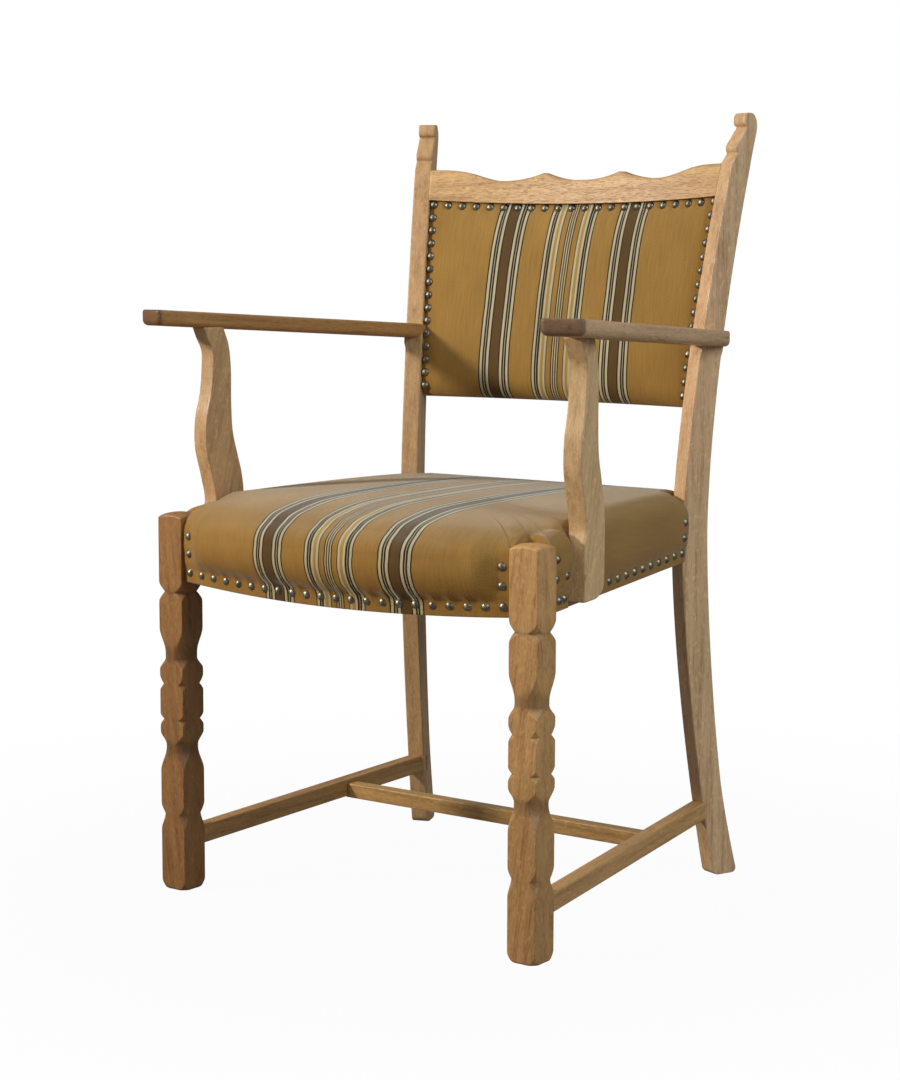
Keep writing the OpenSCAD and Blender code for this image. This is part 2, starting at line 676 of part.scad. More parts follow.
// A bowed rail that leans with the stiles, and whose top hangs at its middle
module frame_rail(low, high, row_z, hang = 0) {
    half = frame_point(high)[0];
    wide = panel_edge(panel_top, panel_set)[0];
    tall = high - low;
    lean = atan((frame_point(high)[1] - frame_point(low)[1]) / tall);
    facets = facet_xs(half, row_z);
    top_xs = hang > 0 ? backwards(facets) : [half, -half];
    face = [for (x = facets) [x, bow(x, half, frame_bow(low + tall / 2))]];
    back = [for (p = face) p + [0, panel_frame]];
    difference() {
        intersection() {
            translate([0, frame_point(low)[1], low]) rotate([-lean, 0, 0]) translate([0, 0, -tall])
                linear_extrude(3 * tall) polygon(concat(face, backwards(back)));
            rotate([90, 0, 0]) linear_extrude(far, center = true) polygon(concat([[-half, low], [half, low]],
                [for (x = top_xs) [x, high - bow(x, wide, hang)]]));
        }
        both_sides() at_post() block([-stile_in, -far, 0], [far, far, far]);
    }
}
module frame_tenon(z, gap = 0) {
    u = post_front(z) + frame_set + panel_frame / 2;
    at_post() block([-stile_in - tenon_root, u - frame_tongue / 2, z - frame_tongue],
        [-stile_in + panel_stile / 2, u + frame_tongue / 2, z + frame_tongue], gap);
}
frame_tongue = 5;
rail_more = 12;
rail_depth = panel_stile + rail_more;
top_rail_z = panel_top - rail_depth / 2;
bottom_rail_z = frame_low + rail_depth / 2;
module frame_screw_spots() {
    for (part = [0.27, 0.53, 0.79]) {
        z = frame_low + (panel_top - frame_low) * part;
        at_post() translate([-stile_in, post_front(z) + frame_set + panel_frame / 2, z])
            rotate([0, 90, 0]) children();
    }
}
frame_screw_long = 27;

// Upholstery of the seat: rings of points run round the seat and in towards its crown.
// The outline stands on the rails' outer faces, grown outwards.
side_points = 8;
front_points = 16;
rear_points = 8;
corner_run = 8;
corner_cut = 4;
seat_middle = (rear_rail_y + rail_thick) / 2 - front_set;
function rail_x(y) = rail_start[0] + (rail_start[1] - y) * tan(rail_turn);
function seat_front(x) = -front_set - bow(x, leg_in, front_bow);
seat_back = rear_rail_y + rail_thick;
// Each outline point: x, y, the direction that it grows in, and how far it may swell
function seat_outline(grow) = concat(
    [for (x = concat([-rail_x(0), -leg_in], steps(-nail_end, nail_end, front_points - 2),
        [leg_in, rail_x(0)])) [x, seat_front(x) - grow, 0, -1, front_swell(x)]],
    [for (y = steps(leg_half, seat_back - corner_run, side_points)) [rail_x(y) + grow, y, 1, 0, side_puff]],
    [for (x = steps(rail_x(seat_back) - corner_cut, -rail_x(seat_back) + corner_cut, rear_points))
        [x, seat_back + grow, 0, 1, rear_puff]],
    [for (y = steps(seat_back - corner_run, leg_half, side_points))
        [-rail_x(y) - grow, y, -1, 0, side_puff]]);
// The front swells less towards the legs, and the nails beside them draw it in
function front_swell(x) = abs(x) > nail_end - 1 ? seat_pinch : seat_puff * (1 - 0.35 * pow(x / leg_in, 6));
nail_end = leg_in - nail_size;
seat_pinch = 2.5;
side_puff = 4;
rear_puff = 3;
cloth_gap = 0.4;
top_tilt = 0.7;
// Parts of the wall's height: where it starts to swell, and where nails stand beside the legs
nail_part = 0.28;
nail_levels = [0.56, 0.9];
swell_turn = 180 * 0.62;
// Height of the stuffing's surface, less the roll at its edge
function seat_height_at(y, inset) = rail_top + (y - leg_half) * tan(top_tilt) + seat_rise
    - front_dip * pow(max(0, 1 - (y - seat_front(0)) / front_dip_run), 2)
    + seat_crown * (1 - pow(1 - inset, 3));
front_dip = 10;
front_dip_run = 90;
function hem_z(x, y) = rail_low + slab_z(y)
    - (y < 0 ? front_rail_lift + bow(x, leg_in, front_sag) + slab_z(y) : 0);
// One ring on the wall: part 0 is the hem, and 1 is where the upper roll starts
function wall_ring(grow, part) = [for (p = seat_outline(grow)) let (swell_out = p[4] * wall_swell(part))
    [p[0] + p[2] * swell_out, p[1] + p[3] * swell_out, wall_z(p[0], p[1], part)]];
function wall_swell(part) = sin(swell_turn * max(0, (part - nail_part) / (1 - nail_part)));
function wall_z(x, y, part) = let (low = hem_z(x, y), high = seat_height_at(y, 0) - seat_roll)
    low + (high - low) * part;
// One ring on the top: inset 0 is the wall, and 1 is the middle of the seat
function top_ring(grow, inset, sink = 0) = [for (p = seat_outline(grow))
    let (swell_out = p[4] * sin(swell_turn), wall = [p[0] + p[2] * swell_out, p[1] + p[3] * swell_out],
        roll = min(1, inset / roll_part), flat = wall + ([0, seat_middle] - wall) * inset)
    [flat[0], flat[1], seat_height_at(flat[1], inset) - seat_roll
        + seat_roll * sqrt(1 - pow(1 - roll, 2)) - sink]];
roll_part = 0.13;
wall_parts = [0, nail_part, nail_levels[0], nail_levels[1]];
top_parts = [0, 0.015, 0.05, 0.13, 0.35, 0.65];
// Closed surface from rings of equal length, with a point at each end. The rings before fold run
// the other way, so their quads are split along the other diagonal.
module loft(rings, first, last, fold = 0) {
    n = len(rings[0]);
    m = len(rings);
    points = concat([for (r = rings) each r], [first, last]);
    strip = [for (k = [0 : m - 2]) for (i = [0 : n - 1])
        let (a = k * n + i, b = k * n + (i + 1) % n, c = a + n, d = b + n)
        each k < fold ? [[a, c, b], [b, c, d]] : [[a, d, b], [a, c, d]]];
    caps = [for (i = [0 : n - 1]) let (j = (i + 1) % n)
        each [[m * n, i, j], [m * n + 1, (m - 1) * n + j, (m - 1) * n + i]]];
    polyhedron(points = points, faces = concat(strip, caps));
}
function crown_point(sink) = [0, seat_middle, seat_height_at(seat_middle, 1) - sink];
// Room for the legs, posts and arm supports
module seat_notches() {
    both_sides() {
        block([leg_in - fit_gap, -far, 0], [far, leg_half + fit_gap, far]);
        at_post() block([-post_half - fit_gap, -fit_gap, 0], [far, far, far]);
        at_side_rail() block([-fit_gap, support_front - leg_half - fit_gap, 0],
            [far, support_front - leg_half + support_wide + fit_gap, far]);
    }
}
module seat_cover_body() {
    inner = concat([for (k = [len(top_parts) - 1 : -1 : 1]) top_ring(cloth_gap, top_parts[k], cover_thick)],
        [for (k = [len(wall_parts) - 1 : -1 : 0]) wall_ring(cloth_gap, wall_parts[k])]);
    outer = concat([for (part = wall_parts) wall_ring(cloth_gap + cover_thick, part)],
        [for (inset = top_parts) top_ring(cloth_gap + cover_thick, inset)]);
    difference() {
        loft(concat(inner, outer), crown_point(cover_thick), crown_point(0), len(inner) - 1);
        seat_notches();
    }
}
module seat_padding_body() {
    rings = concat([for (part = wall_parts) wall_ring(0, part)],
        [for (k = [1 : len(top_parts) - 1]) top_ring(0, top_parts[k], cover_thick + cloth_gap)]);
    difference() {
        loft(rings, [0, seat_middle, rail_low], crown_point(cover_thick + cloth_gap));
        intersection() {
            seat_slab(-far / 2, rail_high + 2 * strap_thick + fit_gap);
            linear_extrude(far) polygon([for (p = seat_outline(fit_gap)) [p[0], p[1]]]);
        }
        block([-far, seat_back - rear_puff, 0], [far, far, far]);
        seat_notches();
    }
}
strap_thick = 1.2;
strap_end = 6;
strap_press = 0.1;
strap_first = 36;
long_pitch = strap_wide * 1.5;
cross_pitch = strap_wide * 1.4;
back_pitch = strap_wide * 1.35;
module seat_webbing_body() {
    slab = [0, leg_half, rail_low];
    for (k = [-2 : 2]) {
        x = k * long_pitch;
        translate(slab) rotate([seat_tilt, 0, 0])
            block([x - strap_wide / 2, seat_front(x) + strap_end - leg_half, rail_high],
                [x + strap_wide / 2, seat_back - strap_end - leg_half, rail_high + strap_thick]);
    }
    for (k = [0 : 4]) {
        y = leg_half + strap_first + cross_pitch * k;
        reach = rail_x(y) - strap_end;
        translate(slab) rotate([seat_tilt, 0, 0])
            block([-reach, y - strap_wide / 2 - leg_half, rail_high + strap_thick - strap_press],
                [reach, y + strap_wide / 2 - leg_half, rail_high + 2 * strap_thick]);
    }
}
cotton_thick = 0.8;
module bottom_cloth_body() {
    y = rail_thick - front_set;
    difference() {
        intersection() {
            linear_extrude(far) polygon([[-rail_x(y) + strap_end, y], [rail_x(y) - strap_end, y],
                [rail_x(seat_back) - strap_end, seat_back - strap_end],
                [-rail_x(seat_back) + strap_end, seat_back - strap_end]]);
            seat_slab(-cotton_thick, 0);
        }
        seat_notches();
    }
}

// Upholstery of the back: s runs across from -1 to 1, and each surface keeps clear of the posts
function panel_bow(z) = low_bow + (crest_bow - low_bow) * (z - panel_low) / (panel_top - panel_low);
function panel_edge(z, set) = post_point(post_front(z) + set, -post_half) - [2 * fit_gap, 0];
// The lower edge rolls back under the frame, and the middle swells forward
function roll_under(z) = z > panel_low + panel_roll ? 0
    : roll_back * (1 - sqrt(max(0, 1 - pow((panel_low + panel_roll - z) / panel_roll, 2))));
function swell_high(z) = panel_puff * (1 - pow(2 * (z - panel_low) / (panel_top - panel_low) - 1, 4));
function panel_swell(s, z) = swell_high(z) * (1 - pow(s, 4));
roll_back = 12;
function sag_z(s, z) = z - crest_sag * (1 - s * s) * max(0, (z - panel_low) / (panel_top - panel_low));
// Front of the back frame at x
function frame_y(x, z) = let (edge = post_point(post_front(z) + frame_set, -post_half), s = frame_point(z))
    abs(x) > s[0] ? edge[1] + (edge[0] - abs(x)) * tan(post_turn)
    : s[1] + bow(x, s[0], frame_bow(z));
function front_sheet(set) = [for (z = panel_rows) [for (s = panel_columns)
    let (e = panel_edge(z, set)) [s * e[0], e[1] + panel_bow(z) * (1 - s * s) - panel_swell(s, z)
        + roll_under(z), sag_z(s, z)]]];
function frame_sheet(set, ahead) = [for (z = panel_rows) [for (s = panel_columns)
    let (x = s * (panel_edge(z, set)[0] + min(0, ahead) * tan(post_turn)))
    [x, frame_y(x, sag_z(s, z)) + ahead + roll_under(z), sag_z(s, z)]]];
// Columns across a sheet, with one where the back frame's rails meet its stiles
panel_columns = [for (t = concat([-90, -77], steps(-64, 64, 14), [77, 90])) sin(t)];
panel_rows = concat([for (t = steps(0, 90, 4)) panel_low + panel_roll * (1 - cos(t))],
    [for (t = steps(20, 180, 8)) let (low = panel_low + panel_roll)
        low + (panel_top - low) * (1 - cos(t)) / 2]);
// Closed solid between two sheets of points
module between_sheets(front, back) {
    rows = len(front);
    n = len(front[0]);
    count = rows * n;
    points = concat([for (r = front) each r], [for (r = back) each r]);
    faces = [for (k = [0 : rows - 2]) for (i = [0 : n - 2]) let (a = k * n + i, b = a + n)
        each [[a, b, b + 1], [a, b + 1, a + 1],
            [count + a, count + b + 1, count + b], [count + a, count + a + 1, count + b + 1]]];
    ends = [for (i = [0 : n - 2]) let (a = i, b = count - n + i)
        each [[a, a + 1, count + a + 1], [a, count + a + 1, count + a],
            [b + 1, b, count + b], [b + 1, count + b, count + b + 1]]];
    sides = [for (k = [0 : rows - 2]) let (a = k * n, b = a + n - 1)
        each [[a + n, a, count + a], [a + n, count + a, count + a + n],
            [b, b + n, count + b + n], [b, count + b + n, count + b]]];
    polyhedron(points = points, faces = concat(faces, ends, sides));
}
module back_webbing_body() {
    rows = [frame_low + strap_end, frame_low + rail_depth, panel_top - rail_depth, panel_top - 2 * strap_end];
    for (k = [-2 : 2]) {
        middle = k * back_pitch;
        xs = steps(middle - strap_wide / 2, middle + strap_wide / 2, 4);
        between_sheets([for (z = rows) [for (x = xs) [x, frame_y(x, z) - strap_clear - strap_thick, z]]],
            [for (z = rows) [for (x = xs) [x, frame_y(x, z) - strap_clear, z]]]);
    }
}

// Upholstery nails: a domed head whose flat side lies on the cloth, and a shank
nail_dome = 2.8;
nail_shank = 1.6;
nail_clear = 0.25;
nail_long = 6;
nail_rise = 11;
seat_nail_long = 9;
module nail(long = nail_long) {
    radius = (pow(nail_size / 2, 2) + pow(nail_dome, 2)) / (2 * nail_dome);
    intersection() {
        translate([0, 0, nail_dome - radius]) sphere(radius);
        block([-radius, -radius, 0], [radius, radius, radius]);
    }
    translate([0, 0, -long]) cylinder(h = long + nail_dome / 2, d = nail_shank);
}
module nail_hole(long = nail_long) {
    translate([0, 0, -long - fit_gap]) cylinder(h = long + nail_dome, d = nail_shank + 2 * fit_gap);
}
// Turns Z outwards to the front, and by yaw about the vertical
module facing(point, yaw, lean = 0) {
    translate(point) rotate([0, 0, yaw]) rotate([90 - lean, 0, 0]) children();
}
nail_out = cloth_gap + cover_thick + nail_clear;
function front_turn(x) = atan(2 * front_bow * x / pow(leg_in, 2));
pinch_turn = 12;
module front_nail_spots() {
    for (x = steps(-nail_end, nail_end, floor(2 * nail_end / nail_pitch)))
        facing([x, seat_front(x) - nail_out, hem_z(x, seat_front(x)) + nail_rise], front_turn(x)) children();
    for (side = [-1, 1]) for (part = nail_levels) {
        x = side * nail_end;
        y = seat_front(x) - nail_out - seat_pinch * wall_swell(part);
        facing([x, y, wall_z(x, y, part)], front_turn(x) + side * pinch_turn) children();
    }
}
side_nail_end = rail_run - nail_size;
function side_y(run) = leg_half + run * cos(rail_turn);
module side_nail_spots() {
    first = support_front - leg_half + support_wide + nail_size;
    near = support_front - leg_half - nail_size;
    row = concat(steps(nail_size, near, 2),
        steps(first, side_nail_end, floor((side_nail_end - first) / nail_pitch)));
    low_row = [for (y = row) [nail_out, y, hem_z(0, side_y(y)) + nail_rise]];
    raised = [[nail_size, 0], [nail_size, 1], [near, 0], [side_nail_end, 0], [side_nail_end, 1]];
    upper = [for (p = raised) let (part = nail_levels[p[1]])
        [nail_out + side_puff * wall_swell(part), p[0], wall_z(0, side_y(p[0]), part)]];
    at_side_rail() for (p = concat(low_row, upper))
        translate(p) rotate([0, 90, 0]) children();
}
module rear_nail_spots() {
    end = rail_x(seat_back) - post_thick - nail_size;
    y = seat_back + nail_out;
    for (x = steps(-end, end, floor(2 * end / nail_pitch)))
        facing([x, y, rail_low + slab_z(seat_back) + nail_rise], 180) children();
}
side_nail_pitch = 15.7;
side_nail_low = 14;
module panel_side_spots(ahead) {
    low = panel_low + side_nail_low;
    high = top_row_z;
    for (z = steps(low, high, floor((high - low) / side_nail_pitch))) {
        wide = panel_edge(z, panel_set)[0];
        edge = panel_edge(z, panel_set) - [panel_margin, 0];
        s = edge[0] / wide;
        y = ahead > 0 ? frame_y(edge[0], z) + ahead
            : edge[1] + panel_bow(z) * (1 - s * s) - panel_swell(s, z);
        yaw = ahead > 0 ? 180 - post_turn : atan((4 * swell_high(z) - 2 * panel_bow(z)) / wide);
        lean = atan(post_front(z + 1) - post_front(z));
        facing([edge[0], y, z], yaw, ahead > 0 ? -lean : lean) translate([0, 0, nail_clear]) children();
    }
}
module panel_row_spots(z, ahead) {
    wide = panel_edge(z, panel_set)[0];
    for (x = row_xs(z)) {
        s = x / wide;
        y = ahead > 0 ? frame_y(x, sag_z(s, z)) + ahead
            : panel_edge(z, panel_set)[1] + panel_bow(z) * (1 - s * s) - panel_swell(s, z);
        turn = atan(2 * panel_bow(z) * x / pow(wide, 2));
        facing([x, y, sag_z(s, z)], ahead > 0 ? 180 - turn : -turn,
            (ahead > 0 ? -1 : 1) * crest_lean) translate([0, 0, nail_clear]) children();
    }
}
module front_frame_nails() {
    both_sides() panel_side_spots(0) children();
    panel_row_spots(top_row_z, 0) children();
}
module rear_frame_nails() {
    both_sides() panel_side_spots(back_gap + cover_thick) children();
    panel_row_spots(top_row_z, back_gap + cover_thick) children();
    panel_row_spots(low_row_z, back_gap + cover_thick) children();
}
back_gap = panel_frame / cos(post_turn) + cloth_gap;
padding_clear = 1.1;
strap_clear = 0.6;

// Moves a piece from the legs' centre line to the middle of the chair's footprint
front_reach = front_set + front_bow + seat_puff + cover_thick + cloth_gap;
crest_reach = arris(crest_top)[1] + crest_bow + crest_thick - cusp_drop * tan(crest_lean);
panel_reach = frame_y(0, top_row_z - crest_sag) + back_gap + cover_thick
    + (nail_clear + nail_dome) / cos(crest_lean);
back_reach = max(crest_reach, panel_reach);
shift_y = (front_reach - back_reach) / 2;
module chair_frame() {
    translate([0, shift_y, 0]) children();
}

module front_leg(side) {
    color(oak) chair_frame() on_side(side) difference() {
        leg_blank();
        side_rail_leg_tenon(fit_gap);
        front_rail_tenon(fit_gap);
        stretcher_leg_tenon(fit_gap);
    }
}
module front_leg_left() { front_leg(-1); }
module front_leg_right() { front_leg(1); }
module back_post(side) {
    color(oak) chair_frame() on_side(side) difference() {
        post_blank();
        side_rail_post_tenon(fit_gap);
        rear_rail_tenon(fit_gap);
        stretcher_post_tenon(fit_gap);
        crest_tenon(fit_gap);
        arm_dowel_spots() dowel(fit_gap);
        frame_screw_spots() screw_hole(frame_screw_long);
    }
}
module back_post_left() { back_post(-1); }
module back_post_right() { back_post(1); }
module crest_rail() {
    color(oak) chair_frame() {
        crest_body();
        both_sides() crest_tenon();
    }
}
module seat_rail_front() {
    color(beech) chair_frame() difference() {
        union() {
            front_rail_body();
            both_sides() front_rail_tenon();
        }
        front_nail_spots() nail_hole(seat_nail_long);
        both_sides() corner_screw_spots() screw_hole(corner_screw_long);
    }
}
module seat_rail_left() { color(beech) chair_frame() on_side(-1) side_rail(); }
module seat_rail_right() { color(beech) chair_frame() side_rail(); }
module seat_rail_rear() {
    color(beech) chair_frame() difference() {
        union() {
            rear_rail_body();
            both_sides() rear_rail_tenon();
        }
        rear_nail_spots() nail_hole();
        both_sides() corner_screw_spots() screw_hole(corner_screw_long);
    }
}
module corner_block_front_left() { color(beech) chair_frame() on_side(-1) front_corner_block(); }
module corner_block_front_right() { color(beech) chair_frame() front_corner_block(); }
module corner_block_rear_left() { color(beech) chair_frame() on_side(-1) rear_corner_block(); }
module corner_block_rear_right() { color(beech) chair_frame() rear_corner_block(); }
module side_stretcher(side) {
    color(oak_dark) chair_frame() on_side(side) difference() {
        union() {
            stretcher_body();
            stretcher_leg_tenon();
            stretcher_post_tenon();
        }
        cross_tenon(fit_gap);
    }
}
module side_stretcher_left() { side_stretcher(-1); }
module side_stretcher_right() { side_stretcher(1); }
module cross_stretcher() {
    color(oak) chair_frame() {
        cross_body();
        both_sides() cross_tenon();
    }
}
module arm_support(side) {
    color(oak_dark) chair_frame() on_side(side) difference() {
        support_body();
        support_screw_spots() screw_hole(support_screw_long);
        arm_dowel_spots() dowel(fit_gap);
    }
}
module arm_support_left() { arm_support(-1); }
module arm_support_right() { arm_support(1); }
module armrest(side) {
    color(oak) chair_frame() on_side(side) difference() {
        arm_body();
        arm_dowel_spots() dowel(fit_gap);
    }
}
module armrest_left() { armrest(-1); }
module armrest_right() { armrest(1); }
module back_frame_top() {
    color(beech) chair_frame() {
        difference() {
            union() {
                frame_rail(panel_top - rail_depth, panel_top - frame_edge, top_row_z, crest_sag);
                both_sides() frame_tenon(top_rail_z);
            }
            front_frame_nails() nail_hole();
            rear_frame_nails() nail_hole();
        }
    }
}
module back_frame_bottom() {
    color(beech) chair_frame() {
        difference() {
            union() {
                frame_rail(frame_low, frame_low + rail_depth, low_row_z);
                both_sides() frame_tenon(bottom_rail_z);
            }
            front_frame_nails() nail_hole();
            rear_frame_nails() nail_hole();
        }
    }
}
module back_stile(side) {
    color(beech) chair_frame() on_side(side) difference() {
        stile_body();
        frame_tenon(top_rail_z, fit_gap);
        frame_tenon(bottom_rail_z, fit_gap);
        frame_screw_spots() screw_hole(frame_screw_long);
        front_frame_nails() nail_hole();
        rear_frame_nails() nail_hole();
    }
}
module back_frame_left() { back_stile(-1); }
module back_frame_right() { back_stile(1); }
module seat_webbing() { color(jute) chair_frame() seat_webbing_body(); }
module seat_padding() { color(cotton) chair_frame() seat_padding_body(); }
module seat_cover() { color(gold_cloth) chair_frame() seat_cover_body(); }
module bottom_cloth() { color(jute) chair_frame() bottom_cloth_body(); }
module back_webbing() { color(jute) chair_frame() back_webbing_body(); }
module back_padding() {
    color(cotton) chair_frame() between_sheets(front_sheet(panel_set + cover_thick + fit_gap),
        frame_sheet(frame_set, -strap_thick - padding_clear));
}
module back_cover_front() {
    color(gold_cloth) chair_frame()
        between_sheets(front_sheet(panel_set), front_sheet(panel_set + cover_thick));
}
module back_cover_rear() {
    color(gold_cloth) chair_frame() between_sheets(frame_sheet(frame_set + panel_frame, back_gap),
        frame_sheet(frame_set + panel_frame, back_gap + cover_thick));
}
module seat_front_nails() { color(bronze) chair_frame() front_nail_spots() nail(seat_nail_long); }
module seat_side_nails() {
    color(bronze) chair_frame() both_sides() side_nail_spots() nail(seat_nail_long);
}
module seat_rear_nails() { color(bronze) chair_frame() rear_nail_spots() nail(); }
module back_front_nails() {
    color(bronze) chair_frame() front_frame_nails() nail();
}
module back_rear_nails() {
    color(bronze) chair_frame() rear_frame_nails() nail();
}
module corner_screws() {
    color(steel) chair_frame() both_sides() corner_screw_spots() screw(corner_screw_long);
}
module support_screws() {
    color(steel) chair_frame() both_sides() support_screw_spots() screw(support_screw_long);
}
module back_frame_screws() {
    color(steel) chair_frame() both_sides() frame_screw_spots() screw(frame_screw_long);
}
module arm_dowels() { color(beech) chair_frame() both_sides() arm_dowel_spots() dowel(); }

front_leg_left();
front_leg_right();
back_post_left();
back_post_right();
crest_rail();
seat_rail_front();
seat_rail_left();
seat_rail_right();
seat_rail_rear();
corner_block_front_left();
corner_block_front_right();
corner_block_rear_left();
corner_block_rear_right();
side_stretcher_left();
side_stretcher_right();
cross_stretcher();
arm_support_left();
arm_support_right();
armrest_left();
armrest_right();
back_frame_top();
back_frame_bottom();
back_frame_left();
back_frame_right();
seat_webbing();
seat_padding();
seat_cover();
bottom_cloth();
back_webbing();
back_padding();
back_cover_front();
back_cover_rear();
seat_front_nails();
seat_side_nails();
seat_rear_nails();
back_front_nails();
back_rear_nails();
corner_screws();
support_screws();
back_frame_screws();
arm_dowels();
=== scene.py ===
"""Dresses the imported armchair: softened oak, stuffed striped cloth, finishes, stage and camera.

Lengths in this file are in millimetres unless a name says otherwise. x = 0 is the chair's middle,
y = 0 is the front legs' centre line and z = 0 is the floor; placed() turns that into the frame.
"""
import math

import bpy
import numpy as np
from mathutils import Matrix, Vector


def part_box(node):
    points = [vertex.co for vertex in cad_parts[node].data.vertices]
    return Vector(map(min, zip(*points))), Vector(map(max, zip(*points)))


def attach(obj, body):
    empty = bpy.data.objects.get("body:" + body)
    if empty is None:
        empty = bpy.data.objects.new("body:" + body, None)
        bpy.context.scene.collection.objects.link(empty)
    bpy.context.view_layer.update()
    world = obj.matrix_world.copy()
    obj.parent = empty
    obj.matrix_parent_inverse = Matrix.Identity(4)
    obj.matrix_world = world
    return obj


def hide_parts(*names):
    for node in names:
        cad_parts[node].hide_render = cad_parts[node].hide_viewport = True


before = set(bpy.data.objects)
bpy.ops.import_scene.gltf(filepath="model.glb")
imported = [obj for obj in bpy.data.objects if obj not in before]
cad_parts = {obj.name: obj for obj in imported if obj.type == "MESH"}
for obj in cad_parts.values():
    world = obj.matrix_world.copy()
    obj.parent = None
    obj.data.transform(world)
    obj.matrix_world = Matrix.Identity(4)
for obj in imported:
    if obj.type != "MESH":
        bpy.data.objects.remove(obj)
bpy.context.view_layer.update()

bl_info = {
    "name": "Oak armchair",
    "version": (1, 0, 0),
    "blender": (4, 5, 0),
    "location": "3D View > Sidebar > Armchair",
    "description": "Builds the oak armchair's fine shapes and finishes over its packed frame",
    "category": "Object",
}

# Sizes shared with the part's source
LEG_X, LEG_HALF, LEG_HIGH, LEG_DOME = 239.0, 17.25, 430.0, 60.0
LEG_IN = LEG_X - LEG_HALF
TURNED_LOW, TURNED_HIGH = 66.0, 355.0
NECK, GROOVE, LEG_FULL = 17.6, 19.8, 24.6
POST_X, POST_Y, POST_HALF, POST_TURN = 191.4, 359.5, 10.5, math.radians(21.25)
KNEE, POST_TOP, CREST_TOP, CREST_LOW = 400.0, 876.0, 820.0, 783.0
CREST_THICK, CREST_BOW, CREST_SAG = 18.0, 25.5, 6.0
RAIL_TOP, RAIL_LOW, RAIL_THICK = 414.0, 356.0, 22.0
FRONT_SET, FRONT_BOW, FRONT_SAG, FRONT_LIFT = 9.5, 19.5, 7.0, 2.0
SEAT_TILT, REAR_SET = math.tan(math.radians(2.67)), 10.5
RAIL_START = np.array([246.0, 17.25])
ARM_HEIGHT, ARM_WIDE, ARM_THICK = 654.0, 44.3, 17.7
ARM_SET, ARM_FRONT, ARM_LAP = 14.8, 16.0, 12.0
ARM_DROP, ARM_SKEW = math.tan(math.radians(3.2)), math.tan(math.radians(14.1))
SUPPORT_THICK, SUPPORT_FRONT, SUPPORT_WIDE = 21.5, 59.5, 45.5
STRETCHER_LOW, STRETCHER_HIGH, STRETCHER_THICK, STRETCHER_SET = 45.5, 20.8, 17.0, 11.0
STRETCHER_TILT, CROSS_RUN, CROSS_HIGH, CROSS_DEEP = math.tan(math.radians(3.43)), 262.0, 17.5, 17.0
PANEL_LOW, PANEL_TOP, PANEL_SET, PANEL_PUFF, PANEL_ROLL = 543.5, 782.0, 5.0, 13.0, 25.0
PANEL_FRAME, PANEL_STILE, LOW_BOW, ROLL_BACK = 12.0, 18.0, 19.0, 12.0
COVER, CLOTH_GAP, TOP_TUCK = 1.5, 0.4, 1.2
FRAME_SET = PANEL_SET + COVER + 3.5
SEAT_PUFF, SEAT_RISE, SEAT_CROWN, SEAT_ROLL = 18.5, 32.0, 8.0, 27.0
NAIL_PITCH, NAIL_SIZE, NAIL_RISE = 19.6, 9.5, 11.0
NAIL_LEVELS, NAIL_PART, NAIL_STEP = (0.56, 0.9), 0.28, 15.67
NAIL_END = LEG_IN - NAIL_SIZE
SEAT_PINCH, SIDE_PUFF = 2.5, 4.0

# Sizes of the fine shapes
MM = 0.001
OTHER_BOARD = np.array([37.0, 61.0, 23.0])
FOOT_HIGH, FOOT_RADIUS, FOOT_EASE = 13.0, 19.5, 2.5
ARRIS_POWER, CUT_POWER, DOME_EASE, LEG_SHOULDER = 70.0, 120.0, 1.6, 400.0
SCROLL_WIDE, SCROLL_STEP = 36.5, 42.2
FIT, CLEAR_OF_WOOD = 0.5, 0.3
BAR_SPLAY, BAR_SUNK = 0.45, 12.0
CROWN_SPOT, CROWN_REACH, CROWN_POWER = np.array([0.0, 175.0]), np.array([242.0, 204.0]), 2.5
LINING_RISE, CREASE, CORNER_SINK = 3.5, 6.5, 8.0
PANEL_MARGIN, PANEL_NAIL_LOW, PANEL_PITCH = 4.6, 14.0, NAIL_PITCH - 0.9
STRAP_HALF, STRAP_THICK, STRAP_WAVE = 24.0, 1.2, 0.6
STRAP_PITCH, CROSS_STRAP_PITCH, BACK_STRAP_PITCH = 72.0, 67.2, 64.8
UNDER_SAG, UNDER_THICK = 5.0, 0.6
# Cuts of the leg: where each is deepest, its radius there, where the leg is full again, gentle or quick
LEG_CUTS = ((0.071, GROOVE, 0, 1), (0.071, GROOVE, 0.125, 0), (0.336, NECK, 0.232, 1),
            (0.343, NECK, 0.405, 1), (0.446, GROOVE, 0.415, 0), (0.446, GROOVE, 0.478, 0),
            (0.585, GROOVE, 0.554, 0), (0.585, GROOVE, 0.63, 0), (0.689, NECK, 0.64, 1),
            (0.706, NECK, 0.82, 1), (0.948, NECK, 0.903, 0), (0.948, NECK, 1, 0))
# Heights of the crest's top by distance from its middle, on both sides of its inner tips
CREST_MIDDLE = ((0, 805.3), (12, 805.5), (25, 807.0), (38, 810.0), (51, 814.4))
CREST_SIDE = ((51, 814.4), (63, 810.6), (78, 807.4), (95, 805.6), (109, 805.7), (121, 807.2), (135, 810.6),
              (150, 815.0), (165, 818.0), (180, 819.4), (212, 820.0))
CREST_TIP = 51
# Run of the arm support's edges by part of its height
SUPPORT_FORE = ((0, 0), (0.03, 0), (0.2, 0), (0.28, 3), (0.38, -3), (0.5, -11), (0.62, -10), (0.72, -3),
                (0.82, 0), (0.9, 0), (0.96, -8), (1.04, -17))
SUPPORT_AFT = ((0.07, 0), (0.28, 0), (0.38, -3), (0.46, -9), (0.56, -16), (0.68, -18), (0.82, -18),
               (0.92, -21), (0.98, -27), (1.04, -33))
SUPPORT_FOOT = 0.07


